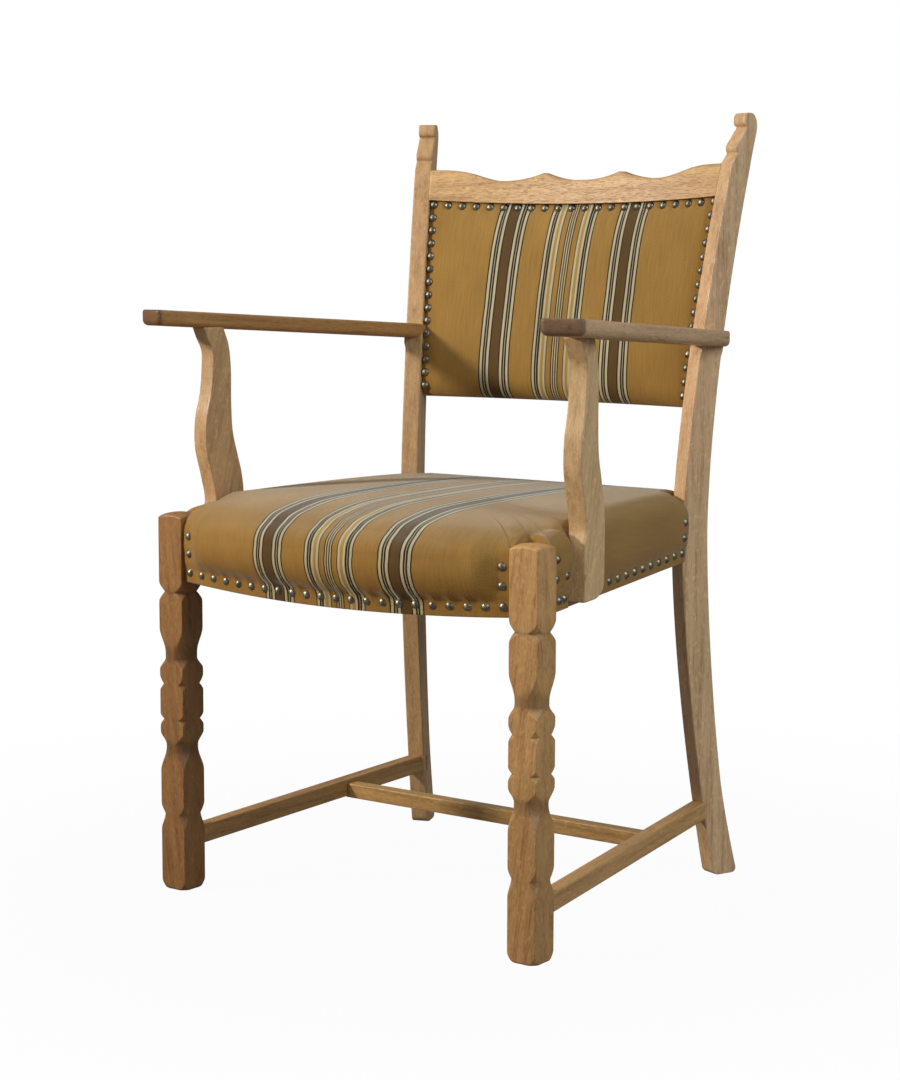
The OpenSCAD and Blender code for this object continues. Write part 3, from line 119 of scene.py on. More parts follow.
def centre_y():
    """Where the legs' centre line lies in the frame, in millimetres."""
    low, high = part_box("front_leg_right")
    return 500.0 * (low.y + high.y)


def placed(points):
    """Millimetres from the legs' centre line to metres in the frame."""
    return (np.asarray(points, float) + [0.0, centre_y(), 0.0]) * MM


def grid(*parts):
    """Points whose coordinates are arrays that broadcast to one shape."""
    return np.stack(np.broadcast_arrays(*parts), axis=-1)


def quarter(count):
    """Angles from 0 to 90 degrees."""
    return np.radians(np.linspace(0, 90, count))


def soft_step(t):
    """t²(3 - 2t), held between 0 and 1."""
    t = np.clip(t, 0.0, 1.0)
    return t * t * (3.0 - 2.0 * t)


def hill(distance, width):
    """exp(-(distance / width)²)."""
    return np.exp(-(distance / width) ** 2)


def smooth_line(points, spots):
    """Catmull-Rom curve through (t, value) points, read at the given spots."""
    p = np.asarray(points, float)
    p = np.vstack([2 * p[0] - p[1], p, 2 * p[-1] - p[-2]])
    t = np.linspace(0, 1, 9)[:-1][:, None]
    out = []
    for a, b, c, d in zip(p[:-3], p[1:-2], p[2:-1], p[3:]):
        out.append(0.5 * (2 * b + (c - a) * t + (2 * a - 5 * b + 4 * c - d) * t ** 2
                          + (3 * b - a - 3 * c + d) * t ** 3))
    line = np.vstack(out + [p[-2]])
    return np.interp(spots, line[:, 0], line[:, 1])


def bezier(a, c, b):
    """Quadratic curve from a to b that leans towards c."""
    t = np.linspace(0, 1, 12)[:, None]
    a, b, c = (np.array(p, float) for p in (a, b, c))
    return a * (1 - t) ** 2 + 2 * c * t * (1 - t) + b * t ** 2


# Mesh making


def make_piece(name, shape, material, nodes, grain=None, cloth=None, tone=None):
    """Makes one mesh object whose faces look outwards, and hangs it on the frame.

    a·(b × c) summed over the triangles is below 0 where they look inwards, and then each is turned.
    """
    points, quads, tris = shape
    quads, tris = np.asarray(quads, int).reshape(-1, 4), np.asarray(tris, int).reshape(-1, 3)
    halves = np.vstack([quads[:, [0, 1, 2]], quads[:, [0, 2, 3]], tris])
    a, b, c = (points[halves[:, k]] for k in range(3))
    if np.einsum("ij,ij->i", a, np.cross(b, c)).sum() < 0:
        quads, tris = quads[:, ::-1], tris[:, ::-1]
    loops = np.concatenate([quads.ravel(), tris.ravel()]).astype(np.int32)
    starts = np.concatenate([np.arange(len(quads)) * 4, len(quads) * 4 + np.arange(len(tris)) * 3])
    mesh = bpy.data.meshes.new(name)
    mesh.vertices.add(len(points))
    mesh.vertices.foreach_set("co", placed(points).astype(np.float32).ravel())
    mesh.loops.add(len(loops))
    mesh.loops.foreach_set("vertex_index", loops)
    mesh.polygons.add(len(starts))
    mesh.polygons.foreach_set("loop_start", starts.astype(np.int32))
    mesh.update(calc_edges=True)
    mesh.validate()
    mesh.shade_smooth()

    def fill(layer, key, values):
        layer.data.foreach_set(key, np.asarray(values, float).astype(np.float32).ravel())

    if grain is not None:
        fill(mesh.attributes.new("grain", "FLOAT_VECTOR", "POINT"), "vector", grain * MM)
    # Darkening per point: painted shade on the legs, seat and back, and the armrests' darker front ends
    if tone is not None:
        fill(mesh.attributes.new("tone", "FLOAT", "POINT"), "value", tone)
    if cloth is not None:
        fill(mesh.uv_layers.new(name="cloth"), "uv", cloth[loops] * MM)
    piece = bpy.data.objects.new(name, mesh)
    bpy.context.scene.collection.objects.link(piece)
    mesh.materials.append(material)
    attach(piece, "root")
    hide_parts(*nodes)
    return piece


def with_ends(rings):
    """The values of a tube's rings in one list, then the means of its first and last ring."""
    return np.vstack([rings.reshape(-1, rings.shape[-1]), rings[0].mean(0), rings[-1].mean(0)])


def tube(rings):
    """Points, quads and triangles of a tube of rings (m, n, 3), closed by a fan at each end."""
    m, n, _ = rings.shape
    i = np.arange(m * n).reshape(m, n)
    after = np.roll(i, -1, axis=1)
    quads = np.stack([i[:-1], after[:-1], after[1:], i[1:]], axis=-1).reshape(-1, 4)
    ends = np.vstack([grid(m * n, after[0], i[0]), grid(m * n + 1, i[-1], after[-1])])
    return with_ends(rings), quads, ends


def sheet_pair(front, back):
    """Closed solid between two grids (m, n, 3) of points, in quads."""
    m, n, _ = front.shape
    i = np.arange(m * n).reshape(m, n)
    face = np.stack([i[:-1, :-1], i[:-1, 1:], i[1:, 1:], i[1:, :-1]], axis=-1).reshape(-1, 4)
    rim = np.concatenate([i[0, :-1], i[:-1, -1], i[-1, :0:-1], i[:0:-1, 0]])
    after = np.roll(rim, -1)
    side = np.stack([after, rim, rim + m * n, after + m * n], axis=1)
    points = np.vstack([front.reshape(-1, 3), back.reshape(-1, 3)])
    return points, np.vstack([face, face[:, ::-1] + m * n, side]), []


def strap_set(straps, lift):
    """One shape of several straps, each a grid of points given its thickness along lift."""
    points, quads, start = [], [], 0
    for strap in straps:
        p, q, _ = sheet_pair(strap + lift, strap)
        points.append(p)
        quads.append(q + start)
        start += len(p)
    return np.vstack(points), np.vstack(quads), []


def rounded(a0, a1, b0, b1, radii):
    """Rings round rectangles with rounded corners: two (rows, points) arrays.

    The corners are (a0, b0), (a1, b0), (a1, b1), (a0, b1), each a quarter circle of its radius.
    """
    given = [np.asarray(v, float).reshape(-1, 1) for v in (a0, a1, b0, b1, *radii)]
    rows = max(len(v) for v in given)
    a0, a1, b0, b1, *r = (np.broadcast_to(v, (rows, 1)) for v in given)
    turn = quarter(6)
    arcs = []
    for a, b, q, begin in ((a0 + r[0], b0 + r[0], r[0], 180), (a1 - r[1], b0 + r[1], r[1], 270),
                           (a1 - r[2], b1 - r[2], r[2], 0), (a0 + r[3], b1 - r[3], r[3], 90)):
        angle = math.radians(begin) + turn
        arcs.append((a + q * np.cos(angle), b + q * np.sin(angle)))
    cut = np.array([0.04, 0.35, 0.65, 0.96])
    out = [[], []]
    for k in range(4):
        for axis in (0, 1):
            here, there = arcs[k][axis], arcs[(k + 1) % 4][axis]
            out[axis] += [here, here[:, -1:] + (there[:, :1] - here[:, -1:]) * cut]
    return np.hstack(out[0]), np.hstack(out[1])


def end_cut(distance, radius):
    """How far a rounded end draws in at a distance from the end: r - sqrt(r² - (r - d)²)."""
    d = np.clip(distance, 0.0, radius)
    return radius - np.sqrt(np.maximum(radius ** 2 - (radius - d) ** 2, 0.0))


def wood_pair(name, rings, grain, woods, node, tone=None):
    """The right-hand piece and its mirror image. The mirrored one is cut from another board."""
    points, quads, tris = tube(rings)
    if tone is not None:
        tone = with_ends(tone[..., None])
    for side, mirror, wood, shift in (("_right", 1.0, woods[0], 0.0),
                                      ("_left", -1.0, woods[1], OTHER_BOARD)):
        make_piece(name + side, (points * [mirror, 1.0, 1.0], quads, tris), wood, [node + side],
                   grain=with_ends(grain) + shift, tone=tone)


# Turned legs


def leg_radius(z):
    """Radius of the turning at each height; beyond the square's corners it no longer cuts.

    A cut widens from its deepest point by (1 - cos(πt)) / 2 where it is gentle, and by sin(πt / 2)
    where it is quick, as the foot does.
    """
    t = np.linspace(0, 1, 25)
    heights, radii = [], []
    for deepest, radius, full, gentle in LEG_CUTS:
        rise = (1 - np.cos(np.pi * t)) / 2 if gentle else np.sin(np.pi / 2 * t)
        part = deepest + (full - deepest) * t
        order = slice(None) if full > deepest else slice(None, None, -1)
        heights.append((TURNED_LOW + (TURNED_HIGH - TURNED_LOW) * part)[order])
        radii.append((radius + (LEG_FULL - radius) * rise)[order])
    foot = np.linspace(0, FOOT_HIGH, 20)
    foot_radii = FOOT_RADIUS + (LEG_FULL - FOOT_RADIUS) * np.sin(np.pi / 2 * foot / FOOT_HIGH)
    return np.interp(z, np.concatenate([foot] + heights + [[LEG_HIGH]]),
                     np.concatenate([foot_radii] + radii + [[LEG_FULL]]))


def front_legs(woods):
    """r(angle, z) is a soft minimum of the square and of the turning, (s^-k + t^-k)^(-1/k).

    The square is h / (|cos|^p + |sin|^p)^(1/p), which rounds its arrises, and the top is a shallow dome.
    The points of a face lie closer together towards its arrises. The darkening attribute is painted shade:
    it darkens the cuts, and the leg more and more towards the foot.
    """
    spread = np.sin(np.pi / 2 * np.linspace(-1, 1, 39)[:-1])
    angle = (np.arctan(spread) + np.pi / 2 * np.arange(4)[:, None]).ravel()
    square = LEG_HALF / (np.abs(np.cos(angle)) ** ARRIS_POWER
                         + np.abs(np.sin(angle)) ** ARRIS_POWER) ** (1 / ARRIS_POWER)

    def held_in(turning):
        return (square ** -CUT_POWER + turning ** -CUT_POWER) ** (-1 / CUT_POWER)

    z = np.concatenate([np.linspace(0, 14, 15), np.linspace(15, 65, 12), np.arange(66, 355.5, 0.75),
                        np.linspace(357, LEG_SHOULDER, 8)])[:, None]
    radius = held_in(leg_radius(z)) - end_cut(z, FOOT_EASE) * 0.8
    edge = LEG_HIGH - LEG_DOME + np.sqrt(LEG_DOME ** 2 - square ** 2) - DOME_EASE
    up = np.linspace(0, 1, 6)[1:, None]
    rim = held_in(LEG_FULL)
    bend = np.radians(np.linspace(10, 80, 5))[:, None]
    dome = (rim - DOME_EASE) * np.linspace(0.97, 0.1, 12)[:, None]
    high = np.vstack([np.broadcast_to(z, radius.shape), LEG_SHOULDER + (edge - LEG_SHOULDER) * up,
                      edge + DOME_EASE * np.sin(bend),
                      LEG_HIGH - LEG_DOME + np.sqrt(LEG_DOME ** 2 - dome ** 2)])
    radius = np.vstack([radius, rim + 0 * up, rim - DOME_EASE * (1 - np.cos(bend)), dome])
    x, y = radius * np.cos(angle), radius * np.sin(angle)
    grain = np.stack([high * 0.985 + x * 0.17, x - high * 0.13, y + high * 0.05], axis=-1)
    # Painted shade: the deeper cuts are darker, and the whole leg darkens towards the floor
    painted_leg_shade = np.clip((LEG_HALF * 1.25 - leg_radius(high)) / 4, 0, 1) ** 2 * 0.7
    painted_leg_shade = painted_leg_shade + 0.45 * (1 - high / LEG_HIGH)
    wood_pair("turned_leg", grid(x + LEG_X, y, high), grain, woods, "front_leg", tone=painted_leg_shade)


# Posts


def post_front(z):
    """Front of the post along its board: a rake by t^1.5 above the knee, a kick by t^1.6 below it."""
    z = np.asarray(z, float)
    up = np.clip((z - KNEE) / (POST_TOP - KNEE), 0, None)
    down = np.clip((KNEE - z) / KNEE, 0, None)
    return 76.3 * up ** 1.5 + 52.9 * down ** 1.6


def post_back(z):
    """Back of the post: 37 behind its front at the knee, less a sine above and a half cosine below.

    The lowest 110 mm widen again by 6·(1 - z / 110)^1.3.
    """
    z = np.asarray(z, float)
    up = np.clip((z - KNEE) / (POST_TOP - KNEE), 0, 1)
    down = np.clip((KNEE - z) / KNEE, 0, 1)
    foot = 6.0 * np.clip(1 - z / 110, 0, None) ** 1.3
    return post_front(z) + 37.0 - 9.4 * np.sin(np.pi / 2 * up) - 7.5 * (1 - np.cos(np.pi * down)) / 2 + foot


def at_post(u, h, z):
    """Board coordinates, u back along the board and h outwards, to the chair's."""
    s, c = math.sin(POST_TURN), math.cos(POST_TURN)
    return grid(POST_X + u * s + h * c, POST_Y + u * c - h * s, z)


def back_posts(woods):
    """Rounded rectangles stacked along the post, with the carved scroll's outline on top."""
    curl = float(post_front(CREST_TOP))
    front = np.vstack([[[0, 0]], bezier((8, 11), (3.6, 16), (7.5, 21.3)),
                       bezier((21.5, 40.7), (16, 41.5), (16.8, 48)),
                       bezier((16.8, 48), (17, 54.5), (20.5, 56))])
    back = bezier((SCROLL_WIDE, SCROLL_STEP), (35, 55), (28.2, 56))
    z = np.concatenate([7 * (1 - np.cos(quarter(9))), np.arange(14, 816, 7.0), np.arange(817, 868, 0.75),
                        POST_TOP - 8 * np.linspace(1, 0, 14) ** 2])
    rise = z - CREST_TOP
    low = post_front(z) + end_cut(z, 7.0)
    high = post_back(z) - end_cut(z, 7.0)
    low[rise >= 0] = curl + np.interp(rise[rise >= 0], front[:, 1], front[:, 0])
    corner = rise > SCROLL_STEP
    carved = curl + np.interp(rise, back[:, 1], back[:, 0])
    high[corner] = np.minimum(high[corner], carved[corner])
    blend = soft_step((rise - 30) / 12)
    level = curl + SCROLL_WIDE + (rise - SCROLL_STEP) * 0.09
    high = np.where(corner, high, high * (1 - blend) + level * blend)
    under = arm_back_z() - ARM_THICK / 2
    ledge = 2.0 * soft_step((z - under + 10.5) / 2.5) * soft_step((under + 12 - z) / 8)
    radius = np.minimum(1.7 + 0.5 * soft_step((z - 815) / 10), (high - low) * 0.4)
    h, u = rounded(-POST_HALF, POST_HALF + ledge, low, high, (radius, radius, radius * 1.3, radius * 1.3))
    z = z[:, None]
    wood_pair("raked_post", at_post(u, h, z), grid(z, u, h), woods, "back_post")


def inner_face_x(y):
    """x of the posts' inner faces at a depth y."""
    s, c = math.sin(POST_TURN), math.cos(POST_TURN)
    return POST_X - POST_HALF * c + (y - POST_Y - POST_HALF * s) / c * s


def arris(z, u=0.0, h=0.0):
    """The post's inner front arris at a height, moved u back and h outwards."""
    return at_post(post_front(z) + u, h - POST_HALF, z)


def crest_rail(wood):
    """A board that bows by 1 - s² and leans; its top is a smooth line through the scallops' heights."""
    half = float(arris(CREST_TOP)[0])
    low_edge = arris(CREST_LOW)
    lean = float((arris(CREST_TOP)[1] - low_edge[1]) / (CREST_TOP - CREST_LOW))
    right = np.concatenate([np.linspace(0, 50.2, 34), [50.7, 51.0, 51.3],
                            np.linspace(51.8, half + 0.6, 84)])
    s = np.concatenate([-right[:0:-1], right]) / half
    x = np.abs(s * half)
    top = np.where(x < CREST_TIP, smooth_line(CREST_MIDDLE, x), smooth_line(CREST_SIDE, x))
    low = CREST_LOW - CREST_SAG * (1 - s ** 2)
    a, z = rounded(0, CREST_THICK * math.hypot(1, lean), low, top, (0.8, 1.2, 2.6, 2.6))
    y = low_edge[1] + CREST_BOW * (1 - s[:, None] ** 2) + a + (z - CREST_LOW) * lean
    wide = s[:, None] * (inner_face_x(y) + 0.4)
    make_piece("scalloped_crest", tube(grid(wide, y, z)), wood, ["crest_rail"],
               grain=with_ends(grid(wide, z - 0.02 * wide, a)) + 400.0)


# Arms


def turned_out(origin, angle, x, y, z):
    """Coordinates of a piece that is turned about the vertical at its origin, to the chair's."""
    s, c = math.sin(angle), math.cos(angle)
    return grid(origin[0] + x * c - y * s, origin[1] + x * s + y * c, z)


def arm_back_z():
    """Height of the arm's middle line at the post."""
    return ARM_HEIGHT - (POST_Y + 24) * ARM_DROP - ARM_THICK / 2


def arm_line():
    """Origin and turn of the armrest's inner edge, from its front corner to the post's arris."""
    origin = np.array([LEG_X + ARM_SET, -ARM_FRONT])
    inner = arris(arm_back_z(), h=FIT)
    return origin, math.atan2(origin[0] - inner[0], inner[1] + ARM_FRONT)


def armrests(woods):
    """Rows across the board run from its skewed front end to its end behind the post.

    Every edge is a quarter circle: small ones above, larger ones below and at the front corners. At the
    post, the inner edge steps out into it by soft_step. The tone darkens the front end.
    """
    origin, turn = arm_line()
    z = arm_back_z()
    to_local = np.array([[math.cos(turn), math.sin(turn)], [-math.sin(turn), math.cos(turn)]])
    corner, inner, touch = (to_local @ (at_post(u, h, z)[:2] - origin) for u, h in (
        (post_back(z), POST_HALF + ARM_LAP), (post_back(z), POST_HALF), (post_front(z), FIT - POST_HALF)))
    slope = (corner[1] - inner[1]) / (corner[0] - inner[0])
    rear_y = corner[1] - slope * corner[0]
    length = rear_y + slope * ARM_WIDE
    near = 8.0 * (1 - np.cos(quarter(7)))
    along = np.concatenate([near, np.linspace(8.0, length - 8.0, 120)[1:-1], length - near[::-1]])
    away = np.minimum(along, length - along)
    left = end_cut(along, 7.0) + soft_step((along - touch[1]) / 12.0) * (inner[0] - 6.0)
    right = ARM_WIDE - np.where(along < length / 2, end_cut(along, 4.0), end_cut(away, 6.0))
    radius = 3.6 - 1.8 * hill(away, 3.0)
    x, high = rounded(left, right, -ARM_THICK + end_cut(away, 6.0), -end_cut(away, 3.5),
                      (radius * 1.9, radius * 1.9, radius, radius))
    part = (along / length)[:, None]
    y = x * ARM_SKEW * (1 - part) + part * (rear_y + slope * x)
    level = ARM_HEIGHT + (ARM_FRONT - y) * ARM_DROP + high
    front_end = 1.3 * soft_step((9.0 - along[:, None]) / 7.0) + 0 * x
    wood_pair("flat_arm", turned_out(origin, turn, x, y, level), grid(y, x + 0.03 * y, high), woods,
              "armrest", tone=front_end)


def side_rail_line():
    """Origin and turn of the side rail's outer face, and its length."""
    end = at_post(0.0, POST_HALF, 0.0)[:2] + [1.9, 0]
    turn = math.atan2(RAIL_START[0] - end[0], end[1] - RAIL_START[1])
    return RAIL_START, turn, float(np.hypot(*(end - RAIL_START)))


def arm_supports(woods):
    """Rounded rectangles stacked between the smooth S-lines of the support's front and back.

    Over the foot the back sweeps in on a quadratic curve.
    """
    origin, turn, _ = side_rail_line()
    low = RAIL_LOW + 8
    high = ARM_HEIGHT - SUPPORT_FRONT * ARM_DROP - ARM_THICK
    begin = SUPPORT_FRONT - LEG_HALF
    part = np.concatenate([np.linspace(0, SUPPORT_FOOT, 16), np.linspace(0.075, 1.0, 110)])
    fore = begin + smooth_line(SUPPORT_FORE, part)
    sweep = bezier((SUPPORT_FOOT, 0), (0.0, 0), (0.0, 8 - SUPPORT_WIDE))[::-1]
    foot = np.interp(part, sweep[:, 0] + 1e-6 * np.arange(12), sweep[:, 1])
    aft = begin + SUPPORT_WIDE + np.where(part < SUPPORT_FOOT, foot, smooth_line(SUPPORT_AFT, part))
    z = low + (high + 1.0 - low) * part
    ease = end_cut(z - low, 2.0)
    radius = np.minimum(2.2, (aft - fore) * 0.3)
    x, y = rounded(ease, SUPPORT_THICK - ease, fore, aft, (1.2, radius, radius, 1.2))
    z = z[:, None]
    wood_pair("shaped_support", turned_out(origin, turn, x, y, z), grid(z + 0.25 * y, y - 0.25 * z, x),
              woods, "arm_support")


# Stretchers


def stretchers(woods, cross_wood):
    """Straight bars with eased arrises: one on each side, and one across between them."""
    z = STRETCHER_LOW + STRETCHER_HIGH
    origin = np.array([LEG_X + STRETCHER_SET, LEG_HALF])
    back = at_post(post_front(z), POST_HALF, z)[:2]
    turn, run = math.atan2(origin[0] - back[0], back[1] - origin[1]), float(np.hypot(*(back - origin)))
    x, high = rounded(-STRETCHER_THICK, 0, 0, STRETCHER_HIGH, (1.4, 1.4, 1.6, 1.6))
    reach = np.linspace(-1.0, run + BAR_SUNK, 60)[:, None]
    y = reach - (x + STRETCHER_THICK / 2) * BAR_SPLAY * (reach > run - 5)
    wood_pair("side_bar", turned_out(origin, turn, x, y, STRETCHER_LOW + y * STRETCHER_TILT + high),
              grid(reach, x, high + 0.02 * reach), woods, "side_stretcher")
    low = STRETCHER_LOW + (CROSS_RUN - LEG_HALF) * STRETCHER_TILT - 1
    inner = origin[0] - STRETCHER_THICK - (CROSS_RUN - LEG_HALF) * math.tan(turn) + 1.5
    x = np.linspace(-inner, inner, 90)[:, None]
    y, z = rounded(CROSS_RUN, CROSS_RUN + CROSS_DEEP, low, low + CROSS_HIGH, (1.2, 1.2, 1.8, 1.8))
    make_piece("cross_bar", tube(grid(x, y, z)), cross_wood, ["cross_stretcher"],
               grain=with_ends(grid(x, z + 0.03 * x, y)) + 90.0)


# Seat


def seat_front(x):
    """Front face of the front rail, bowed by 1 - (x / half)²."""
    return -FRONT_SET - FRONT_BOW * (1 - (x / LEG_IN) ** 2)


def seat_outline(grow):
    """The cover's plan round the right half of the seat, as columns of one array.

    Columns: x, y, outward direction, swell (x, y), roll width. The left half mirrors it.
    """
    origin, turn, length = side_rail_line()
    out = np.array([math.cos(turn), math.sin(turn)])
    gap = CLEAR_OF_WOOD
    rows = []

    def stretch(places, direction, swell, roll):
        n = len(places)
        rows.append(np.column_stack([places, np.tile(direction, (n, 1)), np.broadcast_to(swell, (n, 2)),
                                     np.full(n, roll)]))

    def by_rail(x, y):
        return turned_out(origin, turn, x, y, 0.0)[:, :2]

    x = np.linspace(0, LEG_IN - gap, 112)
    pinch = soft_step((x - NAIL_END + 27) / 26)
    puff = SEAT_PUFF * (1 - 0.35 * (x / LEG_IN) ** 6) * (1 - pinch) + SEAT_PINCH * pinch
    stretch(grid(x, seat_front(x) - grow), (0, -1), grid(0 * x, -puff), 36)
    t = np.linspace(0, 1, 13)[1:]
    start = seat_front(LEG_IN) - grow
    stretch(grid(LEG_IN - gap, start + (LEG_HALF + gap - start) * t), (-0.2, 0),
            grid(0 * t, -puff[-1] * (1 - t)), 6)
    edge = RAIL_START[0] + grow
    stretch(grid(LEG_IN - gap + (edge - LEG_IN + gap) * t, LEG_HALF + gap), (0, -0.2),
            grid(SIDE_PUFF * t ** 1.5, 0 * t), 7)
    begin, end = SUPPORT_FRONT - LEG_HALF - gap, SUPPORT_FRONT - LEG_HALF + SUPPORT_WIDE + gap
    stretch(by_rail(grow, np.linspace(1.5, begin, 26)), out, SIDE_PUFF * out, 24)
    t = np.linspace(0, 1, 6)[1:]
    stretch(by_rail(grow + (-gap - grow) * t, begin), (0, 0.1), SIDE_PUFF * np.outer(1 - t, out), 10)
    stretch(by_rail(-gap, np.linspace(begin, end, 14)[1:-1]), out, (0, 0), 12)
    stretch(by_rail(-gap + (grow + gap) * t, end), (0, 0.1), SIDE_PUFF * np.outer(t, out), 10)
    stretch(by_rail(grow, np.linspace(end, length - 0.5, 76)[1:]), out, SIDE_PUFF * out, 30)
    p = at_post(-gap, np.linspace(POST_HALF + 1.2, -POST_HALF - gap, 10), 0.0)
    stretch(p[1:, :2], (0.1, 0.1), (0, 0), 14)
    rear = POST_Y + REAR_SET + RAIL_THICK + grow
    u = np.linspace(0, (rear - POST_Y - POST_HALF * math.sin(POST_TURN)) / math.cos(POST_TURN), 14)[1:]
    p = at_post(u, -POST_HALF - gap, 0.0)
    stretch(p[:, :2], (-0.1, 0), (0, 0), 13)
    stretch(grid(np.linspace(p[-1, 0], 0, 40)[1:], rear), (0, 1), (0, 3.0), 26)
    return np.vstack(rows)


def both_halves(right):
    """A ring from its right half: x, the direction's x and the swell's x change sign on the left."""
    return np.vstack([right, right[-2:0:-1] * [-1, 1, -1, 1, -1, 1, 1]])


def seat_height(y):
    """Height of the stuffing's plateau, less its crown; it dips by 10·(1 - t)² at the front."""
    dip = 10.0 * np.clip(1 - (y - seat_front(0.0)) / 90.0, 0, 1) ** 2
    return RAIL_TOP + (y - LEG_HALF) * math.tan(math.radians(0.7)) + SEAT_RISE - dip


def hem(x, y):
    """Height of the cover's lower edge: level at the front rail, sloped along the sides."""
    sag = FRONT_LIFT + FRONT_SAG * (1 - (x / LEG_IN) ** 2)
    ahead = soft_step((2.0 - y) / 6.0)
    return RAIL_LOW + (y - LEG_HALF) * SEAT_TILT * (1 - ahead) - sag * ahead


def edge_ratio(points, outline):
    """Least distance to the outline's stretches, each divided by its own roll width."""
    a = outline[:, :2]
    step = np.roll(a, -1, axis=0) - a
    size = np.maximum((step ** 2).sum(1), 1e-9)
    best = np.full(len(points), 1e9)
    for start in range(0, len(points), 3000):
        away = points[start:start + 3000, None, :] - a[None]
        t = np.clip((away * step).sum(2) / size, 0, 1)
        gaps = np.linalg.norm(away - t[..., None] * step, axis=2)
        best[start:start + 3000] = (gaps / outline[:, 6]).min(1)
    return best


def wall_swell(part, start=NAIL_PART):
    """Share of the swell at a part of the wall's height: straight at the nails, then a sine."""
    return np.sin(math.radians(111.6) * np.clip((part - start) / (1 - start), 0, None))


def wall_place(base, swell, part):
    """Points of the seat's wall above its base outline, at a part of the height to the shoulder."""
    low = hem(base[:, 0], base[:, 1])
    high = seat_height(base[:, 1]) - SEAT_ROLL
    return np.column_stack([base + swell * wall_swell(part), low + (high - low) * part])


def seat_nails():
    """Where the heads of the nails round the seat's front and sides lie on the cloth."""
    grow = COVER + CLOTH_GAP
    x = np.linspace(0, NAIL_END, 12)[1:] - NAIL_END / 21
    x = np.concatenate([x[x < NAIL_END - 1], [NAIL_END]])
    spots = [grid(x, seat_front(x) - grow, hem(x, seat_front(x)) + NAIL_RISE)]
    end = np.array([[NAIL_END, float(seat_front(NAIL_END)) - grow]])
    origin, turn, length = side_rail_line()
    out = np.array([[math.cos(turn), math.sin(turn)]])
    near = SUPPORT_FRONT - LEG_HALF - NAIL_SIZE
    first = SUPPORT_FRONT - LEG_HALF + SUPPORT_WIDE + NAIL_SIZE
    last = length - NAIL_SIZE
    y = np.concatenate([np.linspace(NAIL_SIZE, near, 3),
                        np.linspace(first, last, 1 + int((last - first) // NAIL_PITCH))])
    row = turned_out(origin, turn, grow, y, 0.0)
    row[:, 2] = hem(row[:, 0], row[:, 1]) + NAIL_RISE
    spots.append(row)
    for part in NAIL_LEVELS:
        spots.append(wall_place(end, np.array([[0, -SEAT_PINCH]]), part))
        for run in (NAIL_SIZE, last) + ((near,) if part < 0.6 else ()):
            base = turned_out(origin, turn, grow, run, 0.0)[None, :2]
            spots.append(wall_place(base, SIDE_PUFF * out, part))
    right = np.vstack(spots)
    return np.vstack([right, right * [-1, 1, 1]])


def seat_shape():
    """Rings of the seat's skin from its crown to the hem and up inside, and their outward directions.

    On the wall, a column leaves its hem along its swell by wall_swell(part). Away from the nails, by the
    share 1 - exp(-(d / 13)²) of the distance d to the nearest one, the swell starts lower down. By the
    share 1 - exp(-(d / 9)²) the cloth puffs out by (1.2 + 6·lobe·wall_swell(part))·sin(π·part)^1.6,
    where the lobe lies beside the front legs. On top it runs in to the middle, at a quarter ellipse of
    the distance to the edge, plus a crown that falls by the power 2.5 of the way from the middle, less
    the folds.
    """
    ring = both_halves(seat_outline(COVER + CLOTH_GAP))
    base, push, swell, roll = ring[:, :2], ring[:, 2:4], ring[:, 4:6], ring[:, 6]
    low = hem(base[:, 0], base[:, 1])
    nails = seat_nails()
    size = np.linalg.norm(push, axis=1, keepdims=True)
    out = push / np.maximum(size, 1e-6) * (size > 0.5)
    lobe = np.clip(1 - np.abs(base[:, 1] - 38.0) / 26.0, 0, 1) * (np.abs(base[:, 0]) > LEG_X)

    def wall(part):
        points = wall_place(base, swell, part)
        away = np.linalg.norm(points[:, None] - nails[None], axis=2).min(1)
        lower = (1 - hill(away, 13.0)) * (wall_swell(part, NAIL_PART * 0.6) - wall_swell(part))
        points[:, :2] += swell * lower[:, None]
        puff = (1.2 + 6.0 * lobe * wall_swell(part)) * (1 - hill(away, 9.0))
        points[:, :2] += out * (puff * max(0.0, math.sin(math.pi * part)) ** 1.6)[:, None]
        return points

    def lining(flat):
        return RAIL_TOP + LINING_RISE + (flat[:, 1] - LEG_HALF) * SEAT_TILT

    shoulder = wall(1.0)
    edge = shoulder[:, :2]
    rim = np.column_stack([edge, push, swell, roll])
    top = []
    for inset in np.concatenate([np.linspace(0, 1, 26)[1:] ** 1.7 * 0.22,
                                 np.linspace(0.22, 0.985, 30)[1:]]):
        flat = edge + (CROWN_SPOT - edge) * inset
        rise = np.sqrt(1 - (1 - np.clip(edge_ratio(flat, rim), 0, 1)) ** 2)
        reach = np.clip(np.abs(flat - CROWN_SPOT) / CROWN_REACH, 0, 1) ** CROWN_POWER
        crown = SEAT_CROWN * (1 - reach[:, 0]) * (1 - reach[:, 1])
        high = seat_height(flat[:, 1]) - SEAT_ROLL + (SEAT_ROLL + crown - folds(flat)) * rise
        top.append(np.column_stack([flat, high]))
    inwards = base.mean(0) - base
    inner = base + inwards / np.linalg.norm(inwards, axis=1)[:, None] * COVER
    inside = [np.column_stack([inner, low + (lining(base) - low) * lift]) for lift in np.linspace(0, 1, 7)]
    for inset in (0.3, 0.7, 0.97):
        flat = base + (CROWN_SPOT - base) * inset
        inside.append(np.column_stack([flat, lining(flat)]))
    return np.array(top[::-1] + [wall(part) for part in np.linspace(1, 0, 44)] + inside), push


